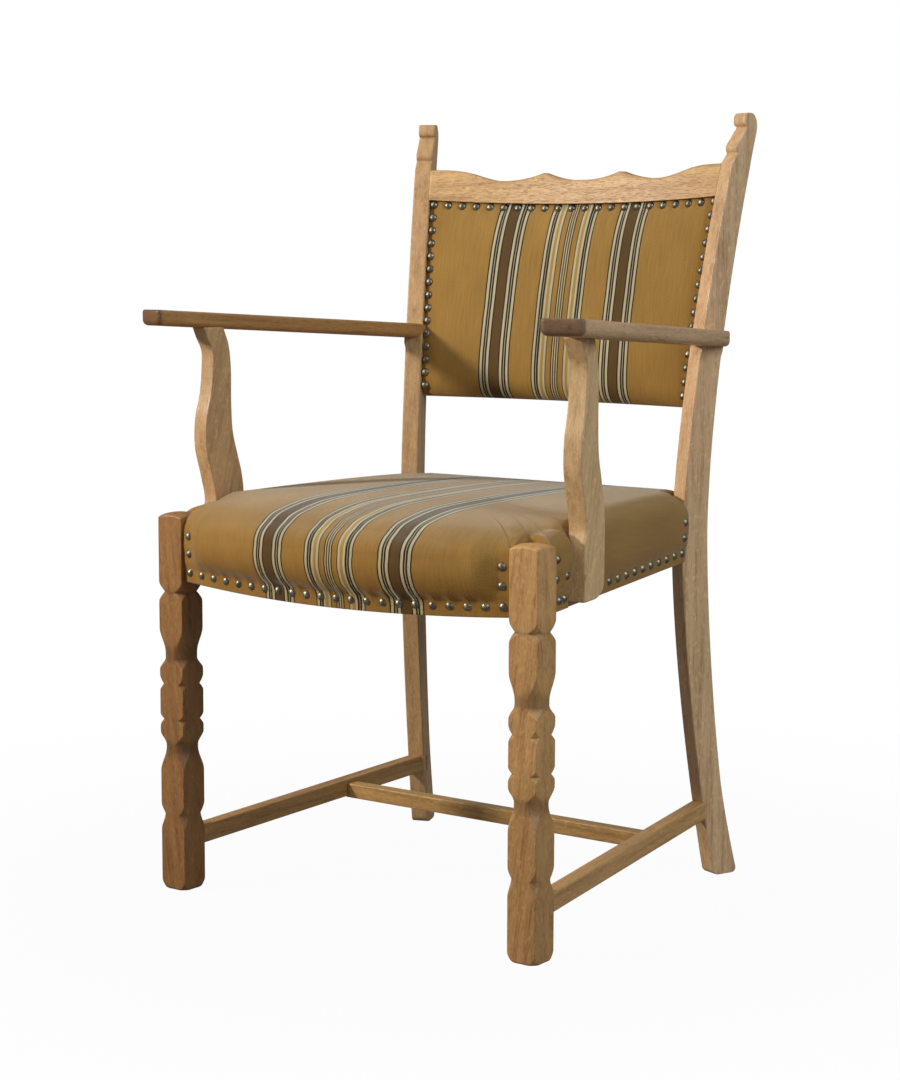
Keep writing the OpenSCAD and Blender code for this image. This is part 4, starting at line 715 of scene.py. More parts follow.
def folds(flat):
    """Depth of the creases that run from the legs' back corners to the arm supports.

    A crease is a quarter ellipse across a bowed line, and outside that line the cloth lies 1.5 lower.
    The stuffing also sinks by 8·exp(-(d / 38)²) round the front corners, where the cloth is folded in.
    """
    origin, turn, _ = side_rail_line()
    x, y = np.abs(flat[:, 0]), flat[:, 1]
    a = np.array([LEG_IN - 1.0, LEG_HALF + 1.0])
    step = turned_out(origin, turn, -3.0, SUPPORT_FRONT - LEG_HALF + 2, 0.0)[:2] - a
    p = np.column_stack([x, y]) - a
    t = np.clip((p @ step) / (step @ step), 0, 1)
    side = (p @ np.array([step[1], -step[0]])) / np.linalg.norm(step) + 6.0 * np.sin(np.pi * t)
    along = np.linalg.norm(p - t[:, None] * step, axis=1)
    close = hill(np.clip(along - np.abs(side), 0, None), 9.0)
    reach = np.clip(1 - np.abs(side) / np.where(side > 0, 8.0, 22.0), 0, 1)
    outer = soft_step(side / 3.0) * soft_step((46 - np.abs(y - 34)) / 20)
    corner = np.exp(-((x - 236) ** 2 + (y - 22) ** 2) / 38 ** 2)
    return CREASE * (1 - np.sqrt(1 - reach ** 2)) * close + 1.5 * outer + CORNER_SINK * corner


def seat_cloth(material):
    """The stuffed seat: one closed skin, with stripe coordinates laid over its top and down its walls."""
    rings, push = seat_shape()
    way = push / np.maximum(np.linalg.norm(push, axis=1, keepdims=True), 1e-6)
    drop = np.clip(seat_height(rings[..., 1]) + 4 - rings[..., 2], 0, None)
    ahead = soft_step((30 - rings[..., 1]) / 40) * np.clip(-way[:, 1], 0, 1)
    cloth = rings[..., :2] + way * drop[..., None]
    cloth[..., 0] -= 12.0 + 0.05 * drop * ahead
    # Painted shade: the cloth darkens the further it drops below the seat's top
    tone = np.concatenate([np.clip(drop / 60, 0, 1).ravel(), [0.0, 1.0]])
    piece = make_piece("stuffed_seat", tube(rings), material, ["seat_cover", "seat_padding"],
                       cloth=with_ends(cloth), tone=tone)


# Back


def panel_part(z):
    """Part of the back panel's height."""
    return (z - PANEL_LOW) / (PANEL_TOP - PANEL_LOW)


def panel_bow(z):
    """Bow of the back panel at a height, from its lower edge's to the crest's."""
    return LOW_BOW + (CREST_BOW - LOW_BOW) * panel_part(z)


def roll_under(z):
    """How far the lowest stretch of the cover curls back: r(1 - sqrt(1 - t²))."""
    t = np.clip((PANEL_LOW + PANEL_ROLL - z) / PANEL_ROLL, 0, 1)
    return ROLL_BACK * (1 - np.sqrt(1 - t ** 2))


def panel_sag(s, z):
    """The panel's upper rows hang with the crest rail's lower edge, by 1 - s²."""
    return z - CREST_SAG * (1 - s ** 2) * np.clip(panel_part(z), 0, None)


def frame_y(x, z):
    """Front of the back frame: flat over the stiles, bowed between them."""
    x = np.abs(x)
    edge, stile = arris(z, FRAME_SET), arris(z, FRAME_SET, -PANEL_STILE)
    bow = panel_bow(z) - PANEL_STILE * math.sin(POST_TURN)
    return np.where(x > stile[..., 0], edge[..., 1] + (edge[..., 0] - x) * math.tan(POST_TURN),
                    stile[..., 1] + bow * (1 - (x / stile[..., 0]) ** 2))


def panel_grid():
    """s across from -1 to 1, z up and its sagged height, closer together near the edges."""
    low = PANEL_LOW + PANEL_ROLL * (1 - np.cos(quarter(25)))
    t = np.radians(np.linspace(14, 180, 120))
    high = PANEL_LOW + PANEL_ROLL + (PANEL_TOP - PANEL_LOW - PANEL_ROLL) * (1 - np.cos(t)) / 2
    s, z = np.meshgrid(np.sin(np.radians(np.linspace(-90, 90, 181))), np.concatenate([low, high[1:]]))
    return s, z, panel_sag(s, z)


def panel_nail_spots():
    """x and z of the nails round the front of the back."""
    keep = CLEAR_OF_WOOD + PANEL_MARGIN
    z = np.linspace(PANEL_LOW + PANEL_NAIL_LOW, PANEL_TOP - PANEL_MARGIN, 15)
    edge = arris(z, PANEL_SET)[:, 0] - keep
    top = edge[-1]
    x = np.linspace(-top, top, 1 + int(2 * top // PANEL_PITCH))
    row = grid(x, panel_sag(x / (top + PANEL_MARGIN), np.full(len(x), PANEL_TOP - PANEL_MARGIN)))
    return np.vstack([grid(edge, z), grid(-edge, z), row])


def dents(x, z, spots, size, depth):
    """Dimples round the nails: depth·exp(-(distance / size)²), the deepest one at each point."""
    best = np.full(x.shape, 1e9)
    for sx, sz in spots:
        best = np.minimum(best, (x - sx) ** 2 + (z - sz) ** 2)
    return depth * np.exp(-best / size ** 2)


def back_cloth(material):
    """The stuffed back between the posts.

    It bows by 1 - s², swells by (1 - s⁴)(1 - t⁴), dips at the nails, and puckers between them in
    cosines that die away from the edges.
    """
    s, z, high = panel_grid()
    edge = arris(z, PANEL_SET)
    x = s * (edge[..., 0] - CLEAR_OF_WOOD)
    t = 2 * (z - PANEL_LOW) / (PANEL_TOP - PANEL_LOW) - 1
    swell = PANEL_PUFF * (1 - s ** 4) * (1 - t ** 4)
    y = edge[..., 1] + panel_bow(z) * (1 - s ** 2) - swell + roll_under(z)
    wave = (1 - np.cos(2 * np.pi * (z - PANEL_LOW - PANEL_NAIL_LOW) / NAIL_STEP)) / 2
    y = y + dents(x, high, panel_nail_spots(), 8.0, 1.1) + 1.2 * hill(1 - np.abs(s), 0.05) * wave
    pull = 0.5 * np.cos(2 * np.pi * x / PANEL_PITCH) * hill(PANEL_TOP - z, 26)
    y = y - pull * (1 - s ** 8)
    high = high + TOP_TUCK * soft_step((z - PANEL_TOP + 6) / 6)
    rear_y = frame_y(x, high) - 2.3 + roll_under(z)
    shape = sheet_pair(grid(x, y, high), grid(x * 0.995, np.maximum(rear_y, y + 0.9), high))
    cloth = grid(x + 2.0, high - roll_under(z)).reshape(-1, 2)
    # Painted shade: darker towards the posts at the sides and towards the lower edge
    near = hill(1 - np.abs(s), 0.07) * 0.8 + np.clip((PANEL_LOW + 90 - z) / 110, 0, 1) * 0.5
    piece = make_piece("stuffed_back", shape, material, ["back_cover_front", "back_padding"],
                       cloth=np.vstack([cloth, cloth]), tone=np.tile(near.ravel(), 2))


def rear_cloth(material):
    """The plain cover behind the back: it follows the frame's bow, with a slight ripple of sines."""
    s, z, high = panel_grid()
    high = high + TOP_TUCK * soft_step((z - PANEL_TOP + 6) / 6)
    wide = s * (arris(z, FRAME_SET + PANEL_FRAME)[..., 0] - CLEAR_OF_WOOD)
    y = frame_y(wide, high) + (PANEL_FRAME / math.cos(POST_TURN) + CLOTH_GAP) + roll_under(z)
    y = y + 0.8 * np.sin(wide / 31.0 + 1.2) * (1 - s ** 2) * np.sin(np.pi * (z - PANEL_LOW) / 240)
    outer = grid(wide, y + COVER, high)
    cloth = grid(wide + 2.0, high).reshape(-1, 2)
    piece = make_piece("rear_cover", sheet_pair(outer, grid(wide, y, high)), material, ["back_cover_rear"],
                       cloth=np.vstack([cloth, cloth]), tone=np.zeros(2 * wide.size))


# Webbing and the cloth under the seat


def rail_x(y):
    """x of the side rails' outer faces."""
    return RAIL_START[0] + (RAIL_START[1] - y) * math.tan(side_rail_line()[1])


def seat_webbing(material):
    """Interlaced straps: each passes over and under the others along a cosine."""
    rear = POST_Y + REAR_SET + RAIL_THICK - 6
    wide = np.linspace(-STRAP_HALF, STRAP_HALF, 9)
    straps = []

    def lay(x, y, weave):
        level = RAIL_TOP + (y - LEG_HALF) * SEAT_TILT
        straps.append(grid(x, y, level + weave))

    for k in range(-2, 3):
        ahead = seat_front(k * STRAP_PITCH) + 6
        y = np.linspace(0, 1, 90)[:, None] * (rear - ahead) + ahead
        wave = np.cos(np.pi * (y - 53.25) / CROSS_STRAP_PITCH + np.pi * k)
        lay(k * STRAP_PITCH + wide, y, STRAP_WAVE + STRAP_WAVE * wave * soft_step((y - 10) / 40))
    for k in range(5):
        middle = LEG_HALF + 36 + CROSS_STRAP_PITCH * k
        reach = rail_x(middle) - 8
        x = np.linspace(-reach, reach, 90)[None]
        wave = np.cos(np.pi * x / STRAP_PITCH + np.pi * k)
        lay(x, middle + wide[:, None], STRAP_WAVE - STRAP_WAVE * wave)
    shape = strap_set(straps, [0, 0, STRAP_THICK])
    make_piece("seat_straps", shape, material, ["seat_webbing"], cloth=shape[0][:, :2])


def back_webbing(material):
    """Upright straps on the front of the back frame."""
    z = np.linspace(PANEL_LOW + 22, PANEL_TOP - 12, 40)[:, None]
    straps = []
    for k in range(-2, 3):
        x = k * BACK_STRAP_PITCH + np.linspace(-STRAP_HALF, STRAP_HALF, 9)
        straps.append(grid(x, frame_y(x + 0 * z, z + 0 * x) - 0.6, z))
    shape = strap_set(straps, [0, -STRAP_THICK, 0])
    make_piece("back_straps", shape, material, ["back_webbing"], cloth=shape[0][:, [2, 0]])


def bottom_cloth(material):
    """Thin cloth under the seat: it sags between the rails by (1 - s⁴)(1 - t⁴), wrinkled by a sine."""
    front, rear = RAIL_THICK - FRONT_SET, POST_Y + REAR_SET + RAIL_THICK - 6
    t, s = np.meshgrid(np.linspace(0, 1, 80), np.linspace(-1, 1, 100), indexing="ij")
    y = front + (rear - front) * t
    notch = 13.0 * soft_step((LEG_HALF + 3 - y) / 3) + 16.0 * soft_step((y - POST_Y + 12) / 3)
    x = s * (rail_x(y) - 6 - notch)
    free = (1 - s ** 4) * (1 - (2 * t - 1) ** 4)
    z = RAIL_LOW - CLEAR_OF_WOOD + (y - LEG_HALF) * SEAT_TILT - UNDER_SAG * free + 0.5 * np.sin(
        x / 23 + y / 41) * free
    top = grid(x, y, z)
    shape = sheet_pair(top, top - [0, 0, UNDER_THICK])
    piece = make_piece("under_cloth", shape, material, ["bottom_cloth"],
                       cloth=shape[0][:, :2])


# Materials


class Graph:
    """A material's or world's node tree, with short calls for adding and joining nodes."""

    def __init__(self, owner, kind="Material"):
        owner.use_nodes = True
        self.owner, self.tree = owner, owner.node_tree
        self.tree.nodes.clear()
        self.out = self.tree.nodes.new("ShaderNodeOutput" + kind)

    def add(self, kind, inputs=None, **settings):
        node = self.tree.nodes.new("ShaderNode" + kind)
        for key, value in settings.items():
            setattr(node, key, value)
        for key, value in (inputs or {}).items():
            if isinstance(value, bpy.types.NodeSocket):
                self.tree.links.new(value, node.inputs[key])
            else:
                node.inputs[key].default_value = value
        return node

    def math(self, operation, a, b=0.0, clamp=False):
        return self.add("Math", {0: a, 1: b}, operation=operation, use_clamp=clamp).outputs[0]

    def times(self, a, b):
        return self.math("MULTIPLY", a, b)

    def plus(self, a, b):
        return self.math("ADD", a, b)

    def object_place(self):
        return self.add("TexCoord").outputs["Object"]

    def cloth_place(self):
        return self.add("UVMap", uv_map="cloth").outputs["UV"]

    def attribute(self, name, output="Fac"):
        return self.add("Attribute", attribute_name=name, attribute_type="GEOMETRY").outputs[output]

    def stretch(self, vector, scale=(1.0, 1.0, 1.0), turn=(0.0, 0.0, 0.0)):
        return self.add("Mapping", {"Vector": vector, "Scale": scale, "Rotation": turn}).outputs[0]

    def noise(self, vector, scale, detail=3.0, rough=0.55, output="Fac"):
        """Noise at one scale, or at another scale along each axis."""
        if isinstance(scale, tuple):
            vector, scale = self.stretch(vector, scale), 1.0
        return self.add("TexNoise", {"Vector": vector, "Scale": scale, "Detail": detail,
                                     "Roughness": rough}).outputs[output]

    def wave(self, vector, scale, way, distortion, detail=2.0):
        return self.add("TexWave", {"Vector": vector, "Scale": scale, "Distortion": distortion,
                                    "Detail": detail}, bands_direction=way).outputs["Fac"]

    def ramp(self, value, stops, interpolation="LINEAR"):
        node = self.add("ValToRGB", {"Fac": value})
        elements = node.color_ramp.elements
        node.color_ramp.interpolation = interpolation
        while len(elements) > 1:
            elements.remove(elements[-1])
        elements[0].position, elements[0].color = stops[0]
        for position, color in stops[1:]:
            elements.new(position).color = color
        return node

    def mix(self, factor, a, b, blend="MIX"):
        return self.add("Mix", {0: factor, 6: a, 7: b}, data_type="RGBA", blend_type=blend).outputs[2]

    def grey(self, shade):
        return self.add("CombineColor", {0: shade, 1: shade, 2: shade}).outputs[0]

    def span(self, value, low, high, to_low=0.0, to_high=1.0):
        return self.add("MapRange", {"Value": value, 1: low, 2: high, 3: to_low, 4: to_high}).outputs[0]

    def show(self, shader):
        self.tree.links.new(shader.outputs[0], self.out.inputs["Surface"])
        return self.owner

    def finish(self, inputs, bump, distance):
        shader = self.add("BsdfPrincipled", inputs)
        height = self.add("Bump", {"Height": bump, "Distance": distance, "Strength": 1.0})
        self.tree.links.new(height.outputs[0], shader.inputs["Normal"])
        return self.show(shader)


def new_graph(name):
    """An empty material's graph."""
    return Graph(bpy.data.materials.new(name))


def srgb(r, g, b):
    """A colour given as 0 to 255 on screen, in linear light."""
    c = np.array([r, g, b], float) / 255
    c = np.where(c <= 0.04045, c / 12.92, ((c + 0.055) / 1.055) ** 2.4)
    return (float(c[0]), float(c[1]), float(c[2]), 1.0)


# Repeats of the oak's figure in a metre, along the grain and across it
OAK_DRIFT, OAK_PATCHES, OAK_RINGS = (2.0, 9.0, 9.0), (6.0, 22.0, 22.0), (5.0, 150.0, 110.0)
OAK_FIBRES, OAK_PORES, OAK_RAYS = (28.0, 900.0, 700.0), (95.0, 2300.0, 1900.0), (130.0, 190.0, 520.0)
# Yarn colours; a clear stripe shows the ground
CREAM, DARK, BROWN = srgb(206, 196, 160), srgb(58, 42, 36), srgb(106, 80, 46)
GOLD, AMBER, CLEAR = srgb(164, 126, 65), srgb(188, 150, 84), (0.0, 0.0, 0.0, 0.0)
# Where each stripe starts, in millimetres outwards from its group's middle line
SIDE_GROUP = ((0.0, BROWN), (5.8, DARK), (7.4, CREAM), (10.7, DARK), (13.1, CREAM), (13.8, DARK),
              (16.2, CREAM), (19.5, DARK), (21.1, CLEAR))
MIDDLE_GROUP = ((0.0, CREAM), (0.5, BROWN), (2.6, CREAM), (3.9, DARK), (5.4, CLEAR), (11.8, DARK),
                (12.9, CREAM), (15.9, AMBER), (19.8, CREAM), (22.6, DARK), (25.2, CREAM), (25.9, DARK),
                (28.2, CREAM), (31.2, DARK), (32.6, CLEAR))
GROUP_SPACING, GROUP_REACH = 0.0845, 40.0


def oak_material(name, light, dark, groove, gloss, turn=None):
    """Oiled wood: rings, fine fibres, open pores and rays, along the grain attribute or a turned object."""
    g = new_graph(name)
    shaped = turn is None
    line = g.attribute("grain", "Vector") if shaped else g.stretch(g.object_place(), turn=turn)
    drift = g.noise(line, OAK_DRIFT, 2.0, 0.5, "Color")
    moved = g.add("VectorMath", {0: drift, 1: (0.012, 0.012, 0.012)}, operation="MULTIPLY")
    line = g.add("VectorMath", {0: line, 1: moved.outputs[0]}, operation="ADD").outputs[0]
    rings, fibres = g.noise(line, OAK_RINGS, 3.0, 0.6), g.noise(line, OAK_FIBRES, 3.0, 0.6)
    pores, rays = g.noise(line, OAK_PORES, 1.0, 0.5), g.noise(line, OAK_RAYS, 1.0, 0.4)
    between = tuple(0.3 * a + 0.7 * b for a, b in zip(dark, light))
    color = g.ramp(g.plus(g.times(rings, 0.62), g.times(fibres, 0.38)),
                   [(0.29, dark), (0.46, between), (0.62, light)]).outputs["Color"]
    open_pores = g.span(pores, 0.60, 0.72)
    color = g.mix(g.times(open_pores, 0.36), color, groove)
    bright = tuple(min(1.0, c * 1.28) for c in light[:3]) + (1.0,)
    color = g.mix(g.times(g.span(rays, 0.58, 0.7), 0.38), color, bright)
    shade = g.span(g.noise(line, OAK_PATCHES), 0.3, 0.7, 0.9, 1.07)
    color = g.mix(1.0, color, g.grey(shade), "MULTIPLY")
    # The attribute mixes towards the pore colour: painted shade in the legs' cuts and towards the floor,
    # and the armrests' darker front ends
    if shaped:
        color = g.mix(g.times(g.attribute("tone"), 0.55), color, groove)
    relief = g.math("SUBTRACT", g.times(fibres, 0.5), g.times(open_pores, 0.9))
    return g.finish({"Base Color": color, "Roughness": g.span(fibres, 0.3, 0.7, gloss - 0.06, gloss + 0.12),
                     "Coat Weight": 0.06, "Coat Roughness": 0.35}, relief, 0.00022)


def cloth_material(name):
    """Wool twill: stripe groups of plied yarns on a gold ground, flecks, diagonal ribs and fuzz."""
    g = new_graph(name)
    flat = g.cloth_place()
    wander = g.noise(flat, (14.0, 14.0, 1.0), 2.0)
    parts = g.add("SeparateXYZ", {0: flat})
    middle = g.math("ABSOLUTE", g.plus(parts.outputs[0], g.span(wander, 0.0, 1.0, -0.0009, 0.0009)))
    side = g.math("ABSOLUTE", g.math("SUBTRACT", middle, GROUP_SPACING))
    tuft = g.noise(flat, (900.0, 700.0, 1.0), 2.0, 0.6)
    cloudy = g.noise(flat, (16.0, 9.0, 1.0))
    streak = g.noise(flat, (520.0, 26.0, 1.0), 2.0, 0.6)
    twist = g.wave(g.stretch(flat, turn=(0, 0, 0.5)), 150.0, "Y", 0.5)
    plied = g.grey(g.span(twist, 0.3, 0.7, 0.7, 1.08))
    color = GOLD
    for place, group in ((side, SIDE_GROUP), (middle, MIDDLE_GROUP)):
        stripes = g.ramp(g.math("DIVIDE", place, GROUP_REACH * MM, True),
                         [(start / GROUP_REACH, yarn) for start, yarn in group], "CONSTANT")
        yarns = g.mix(1.0, stripes.outputs["Color"], plied, "MULTIPLY")
        color = g.mix(stripes.outputs["Alpha"], color, yarns)
    shade = g.times(g.span(tuft, 0.25, 0.75, 0.8, 1.18), g.span(cloudy, 0.3, 0.7, 0.9, 1.1))
    shade = g.times(shade, g.span(streak, 0.3, 0.7, 0.9, 1.1))
    color = g.mix(1.0, color, g.grey(shade), "MULTIPLY")
    # Painted shade: darker, more saturated gold down the seat's walls and at the back's sides and lower
    # edge
    color = g.mix(g.times(g.attribute("tone"), 0.5), color, (0.92, 0.72, 0.45, 1.0), "MULTIPLY")
    rib = g.wave(g.stretch(flat, turn=(0, 0, 0.9)), 300.0, "X", 0.6, 1.0)
    yarn = g.wave(flat, 520.0, "Y", 0.4)
    relief = g.plus(g.plus(g.times(rib, 0.5), g.times(yarn, 0.25)), g.times(tuft, 0.5))
    return g.finish({"Base Color": color, "Roughness": 0.86, "Sheen Weight": 0.42, "Sheen Roughness": 0.3,
                     "Sheen Tint": (0.88, 0.92, 0.94, 1.0), "Specular IOR Level": 0.15}, relief, 0.0004)


def bronze_material():
    """Aged bronze: dark greenish brown with rubbed bright patches."""
    g = new_graph("aged_bronze")
    spot = g.object_place()
    stain = g.noise(spot, 260.0, 3.0, 0.6)
    rough = g.span(g.noise(spot, 1900.0, 2.0, 0.6), 0.3, 0.7, 0.36, 0.48)
    color = g.ramp(stain, [(0.35, srgb(104, 101, 90)), (0.55, srgb(142, 138, 122)),
                           (0.7, srgb(180, 175, 156))]).outputs["Color"]
    return g.finish({"Base Color": color, "Metallic": 1.0, "Roughness": rough}, stain, 0.0001)


def steel_material():
    """Plain steel with fine scratches along the object's height."""
    g = new_graph("plain_steel")
    mark = g.noise(g.object_place(), (900.0, 900.0, 120.0), 2.0, 0.6)
    color = g.ramp(mark, [(0.3, srgb(128, 128, 130)), (0.7, srgb(170, 170, 172))]).outputs["Color"]
    return g.finish({"Base Color": color, "Metallic": 1.0, "Roughness": g.span(mark, 0.3, 0.7, 0.3, 0.45)},
                    mark, 0.0001)


def woven_material(name, light, dark, threads):
    """Plain weave of two threads at right angles, with uneven yarn."""
    g = new_graph(name)
    flat = g.cloth_place()
    weave = g.times(g.wave(flat, threads, "X", 0.8, 1.0), g.wave(flat, threads, "Y", 0.8, 1.0))
    uneven = g.noise(flat, (60.0, 60.0, 1.0), 3.0, 0.6)
    color = g.ramp(g.plus(g.times(weave, 0.5), g.times(uneven, 0.5)), [(0.2, dark), (0.7, light)])
    return g.finish({"Base Color": color.outputs["Color"], "Roughness": 0.9, "Sheen Weight": 0.15},
                    weave, 0.0005)


def floor_material(name):
    """A pale plain floor that fades to white for the camera away from the chair."""
    g = new_graph(name)
    spot = g.object_place()
    color = g.ramp(g.noise(spot, 40.0, 2.0), [(0.3, (0.20, 0.19, 0.18, 1.0)),
                                              (0.7, (0.22, 0.21, 0.20, 1.0))])
    plain = g.add("BsdfPrincipled", {"Base Color": color.outputs["Color"], "Roughness": 0.9})
    glow = g.add("Emission", {"Color": (1.0, 1.0, 1.0, 1.0), "Strength": 1.0})
    away = g.add("VectorMath", {0: spot}, operation="LENGTH").outputs["Value"]
    seen = g.add("LightPath").outputs["Is Camera Ray"]
    share = g.times(seen, g.span(away, 0.35, 1.1, 0.965, 1.0))
    return g.show(g.add("MixShader", {0: share, 1: plain.outputs[0], 2: glow.outputs[0]}))


# Scale of each board's colour beside the wood's own colours. Partly painted light: the posts' bluer fronts,
# the right one paler too, are a painted reflection of a cool window, the supports and the right armrest are
# bluer for that painted window light, and the left leg is darker as painted shade.
BOARD_TINTS_AND_PAINTED_LIGHT = {
    "leg_right": (0.89, 0.87, 0.84), "leg_left": (0.51, 0.43, 0.33),
    "post_right": (1.1, 1.24, 1.75), "post_left": (0.86, 0.94, 1.15), "crest": (0.9, 0.96, 1.03),
    "arm_right": (0.86, 0.94, 1.3), "arm_left": (0.64, 0.58, 0.5),
    "support_right": (1.02, 1.18, 1.5), "support_left": (0.84, 0.92, 1.15),
    "bar_right": (0.88, 0.87, 0.86), "bar_left": (0.66, 0.63, 0.55), "cross": (0.76, 0.77, 0.68),
}
ARM_POLISH = 0.08


def shared(name, maker, *args):
    """A material that is made once."""
    return bpy.data.materials.get(name) or maker(name, *args)


def oak(board):
    """The oak of one board: the wood's colours times its scale in the table, which holds painted light for
    some boards. The armrests are polished by hands.
    """
    wood, shade = bpy.context.scene.armchair_wood, BOARD_TINTS_AND_PAINTED_LIGHT[board]
    light, dark, groove = (tuple(min(1.0, a * b) for a, b in zip(color, shade)) + (1.0,)
                           for color in (wood.light, wood.dark, wood.groove))
    gloss = wood.gloss - ARM_POLISH * board.startswith("arm_")
    return shared("oak_" + board, oak_material, light, dark, groove, gloss)


def oak_pair(board):
    """The oaks of the right and the left board."""
    return oak(board + "_right"), oak(board + "_left")


def jute():
    """Coarse jute webbing."""
    return shared("jute", woven_material, srgb(170, 146, 100), srgb(112, 92, 58), 420.0)


# Settings, operators and panel


def wood_color(name, description, *color):
    """A colour setting of the wood."""
    return bpy.props.FloatVectorProperty(name=name, description=description, subtype="COLOR", size=3,
                                         default=srgb(*color)[:3])


def camera_turn(name, description, degrees):
    """An angle setting of the camera."""
    return bpy.props.FloatProperty(name=name, description=description, default=math.radians(degrees),
                                   subtype="ANGLE", unit="ROTATION")


class ArmchairWood(bpy.types.PropertyGroup):
    """Colours and gloss of the oak."""
    light: wood_color("Early wood", "Pale part of the grain", 220, 170, 108)
    dark: wood_color("Late wood", "Dark part of the grain", 160, 106, 54)
    # Also the colour of the painted shade in the legs' cuts and towards the floor
    groove: wood_color("Pores", "Colour in pores and grooves", 96, 58, 28)
    gloss: bpy.props.FloatProperty(name="Roughness", description="Roughness of the oiled surface",
                                   default=0.42, min=0.1, max=1.0, subtype="FACTOR")


class ArmchairStage(bpy.types.PropertyGroup):
    """Camera and lights."""
    lens: bpy.props.FloatProperty(name="Focal length", description="Camera lens on a 36 mm sensor",
                                  default=78.59, min=20.0, max=200.0)
    yaw: camera_turn("Turn", "Camera's turn about the vertical", 36.273563)
    pitch: camera_turn("Tilt", "How far the camera looks down", 6.859987)
    roll: camera_turn("Roll", "Camera's turn about its own axis", 0.165825)
    key: bpy.props.FloatProperty(name="Key light", description="Power of the large soft light",
                                 default=47.0, min=0.0, subtype="POWER", unit="POWER")
    fill: bpy.props.FloatProperty(name="Sky", description="Brightness of the even surroundings",
                                  default=0.24, min=0.0, max=4.0)


class ARMCHAIR_OT_legs(bpy.types.Operator):
    """Build the two turned front legs"""
    bl_idname = "armchair.legs"
    bl_label = "Front legs"

    def execute(self, context):
        front_legs(oak_pair("leg"))
        return {"FINISHED"}


class ARMCHAIR_OT_posts(bpy.types.Operator):
    """Build the two raked posts with their carved tops"""
    bl_idname = "armchair.posts"
    bl_label = "Back posts"

    def execute(self, context):
        back_posts(oak_pair("post"))
        return {"FINISHED"}


class ARMCHAIR_OT_crest(bpy.types.Operator):
    """Build the scalloped crest rail"""
    bl_idname = "armchair.crest"
    bl_label = "Crest rail"

    def execute(self, context):
        crest_rail(oak("crest"))
        return {"FINISHED"}


class ARMCHAIR_OT_arms(bpy.types.Operator):
    """Build the armrests and their shaped supports"""
    bl_idname = "armchair.arms"
    bl_label = "Arms"

    def execute(self, context):
        armrests(oak_pair("arm"))
        arm_supports(oak_pair("support"))
        return {"FINISHED"}


class ARMCHAIR_OT_stretchers(bpy.types.Operator):
    """Build the side bars and the cross bar"""
    bl_idname = "armchair.stretchers"
    bl_label = "Stretchers"

    def execute(self, context):
        stretchers(oak_pair("bar"), oak("cross"))
        return {"FINISHED"}


class ARMCHAIR_OT_seat(bpy.types.Operator):
    """Build the stuffed seat, its straps and the cloth under it"""
    bl_idname = "armchair.seat"
    bl_label = "Seat"

    def execute(self, context):
        seat_cloth(shared("striped_twill", cloth_material))
        seat_webbing(jute())
        bottom_cloth(shared("black_cotton", woven_material, srgb(52, 48, 46), srgb(24, 22, 22), 700.0))
        return {"FINISHED"}


class ARMCHAIR_OT_back(bpy.types.Operator):
    """Build the stuffed back, its rear cover and its straps"""
    bl_idname = "armchair.back"
    bl_label = "Back"

    def execute(self, context):
        back_cloth(shared("striped_twill", cloth_material))
        rear_cloth(shared("striped_twill", cloth_material))
        back_webbing(jute())
        return {"FINISHED"}


class ARMCHAIR_OT_finishes(bpy.types.Operator):
    """Give the inner wood, nails and screws their finishes"""
    bl_idname = "armchair.finishes"
    bl_label = "Inner pieces"

    def execute(self, context):
        beech = (srgb(196, 160, 116), srgb(160, 122, 80), srgb(120, 86, 54), 0.6)
        across = oak_material("beech_across", *beech, (0.0, 0.0, 0.0))
        along = oak_material("beech_along", *beech, (0.0, 0.0, math.radians(-90)))
        upright = oak_material("beech_upright", *beech, (0.0, math.radians(90), 0.0))
        for material, names in (
                (across, ("seat_rail_front", "seat_rail_rear", "back_frame_top", "back_frame_bottom",
                          "corner_block_front_left", "corner_block_front_right",
                          "corner_block_rear_left", "corner_block_rear_right")),
                (along, ("seat_rail_left", "seat_rail_right")),
                (upright, ("back_frame_left", "back_frame_right", "arm_dowels")),
                (bronze_material(), ("seat_front_nails", "seat_side_nails", "seat_rear_nails",
                                     "back_front_nails", "back_rear_nails")),
                (steel_material(), ("corner_screws", "support_screws", "back_frame_screws"))):
            for name in names:
                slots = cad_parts[name].data.materials
                slots.clear()
                slots.append(material)
        return {"FINISHED"}


# Each light: its place, aim and size in metres, its share of the key light's power, its colour
LIGHTS = {
    "key": ((-1.55, -1.75, 1.4), (-0.1, 0.1, 0.6), (0.24, 0.24), 1.0, (1.0, 0.94, 0.84)),
    "high": ((-1.1, -1.3, 2.5), (0, 0, 0.5), (1.2, 1.2), 0.3, (1.0, 0.96, 0.9)),
    "window": ((2.6, -0.4, 1.8), (0, 0, 0.55), (1.2, 1.4), 0.82, (0.78, 0.9, 1.0)),
    "top": ((-0.4, 1.0, 2.5), (0, 0, 0.4), (1.8, 1.0), 0.12, (0.92, 0.96, 1.0)),
}
EYE = (1556.314, -1935.488, 714.255)


def soft_light(name, place, aim, size, power, color):
    """A large area light that looks at a point."""
    data = bpy.data.lights.new(name, "AREA")
    data.shape, data.size, data.size_y, data.energy, data.color = "RECTANGLE", *size, power, color
    lamp = bpy.data.objects.new(name, data)
    bpy.context.scene.collection.objects.link(lamp)
    place, aim = np.array(place, float), np.array(aim, float)
    lamp.location = place
    back = (place - aim) / np.linalg.norm(place - aim)
    side = np.cross([0, 0, 1], back)
    side /= np.linalg.norm(side)
    turn = np.column_stack([side, np.cross(back, side), back])
    lamp.rotation_euler = Matrix(turn.tolist()).to_euler()


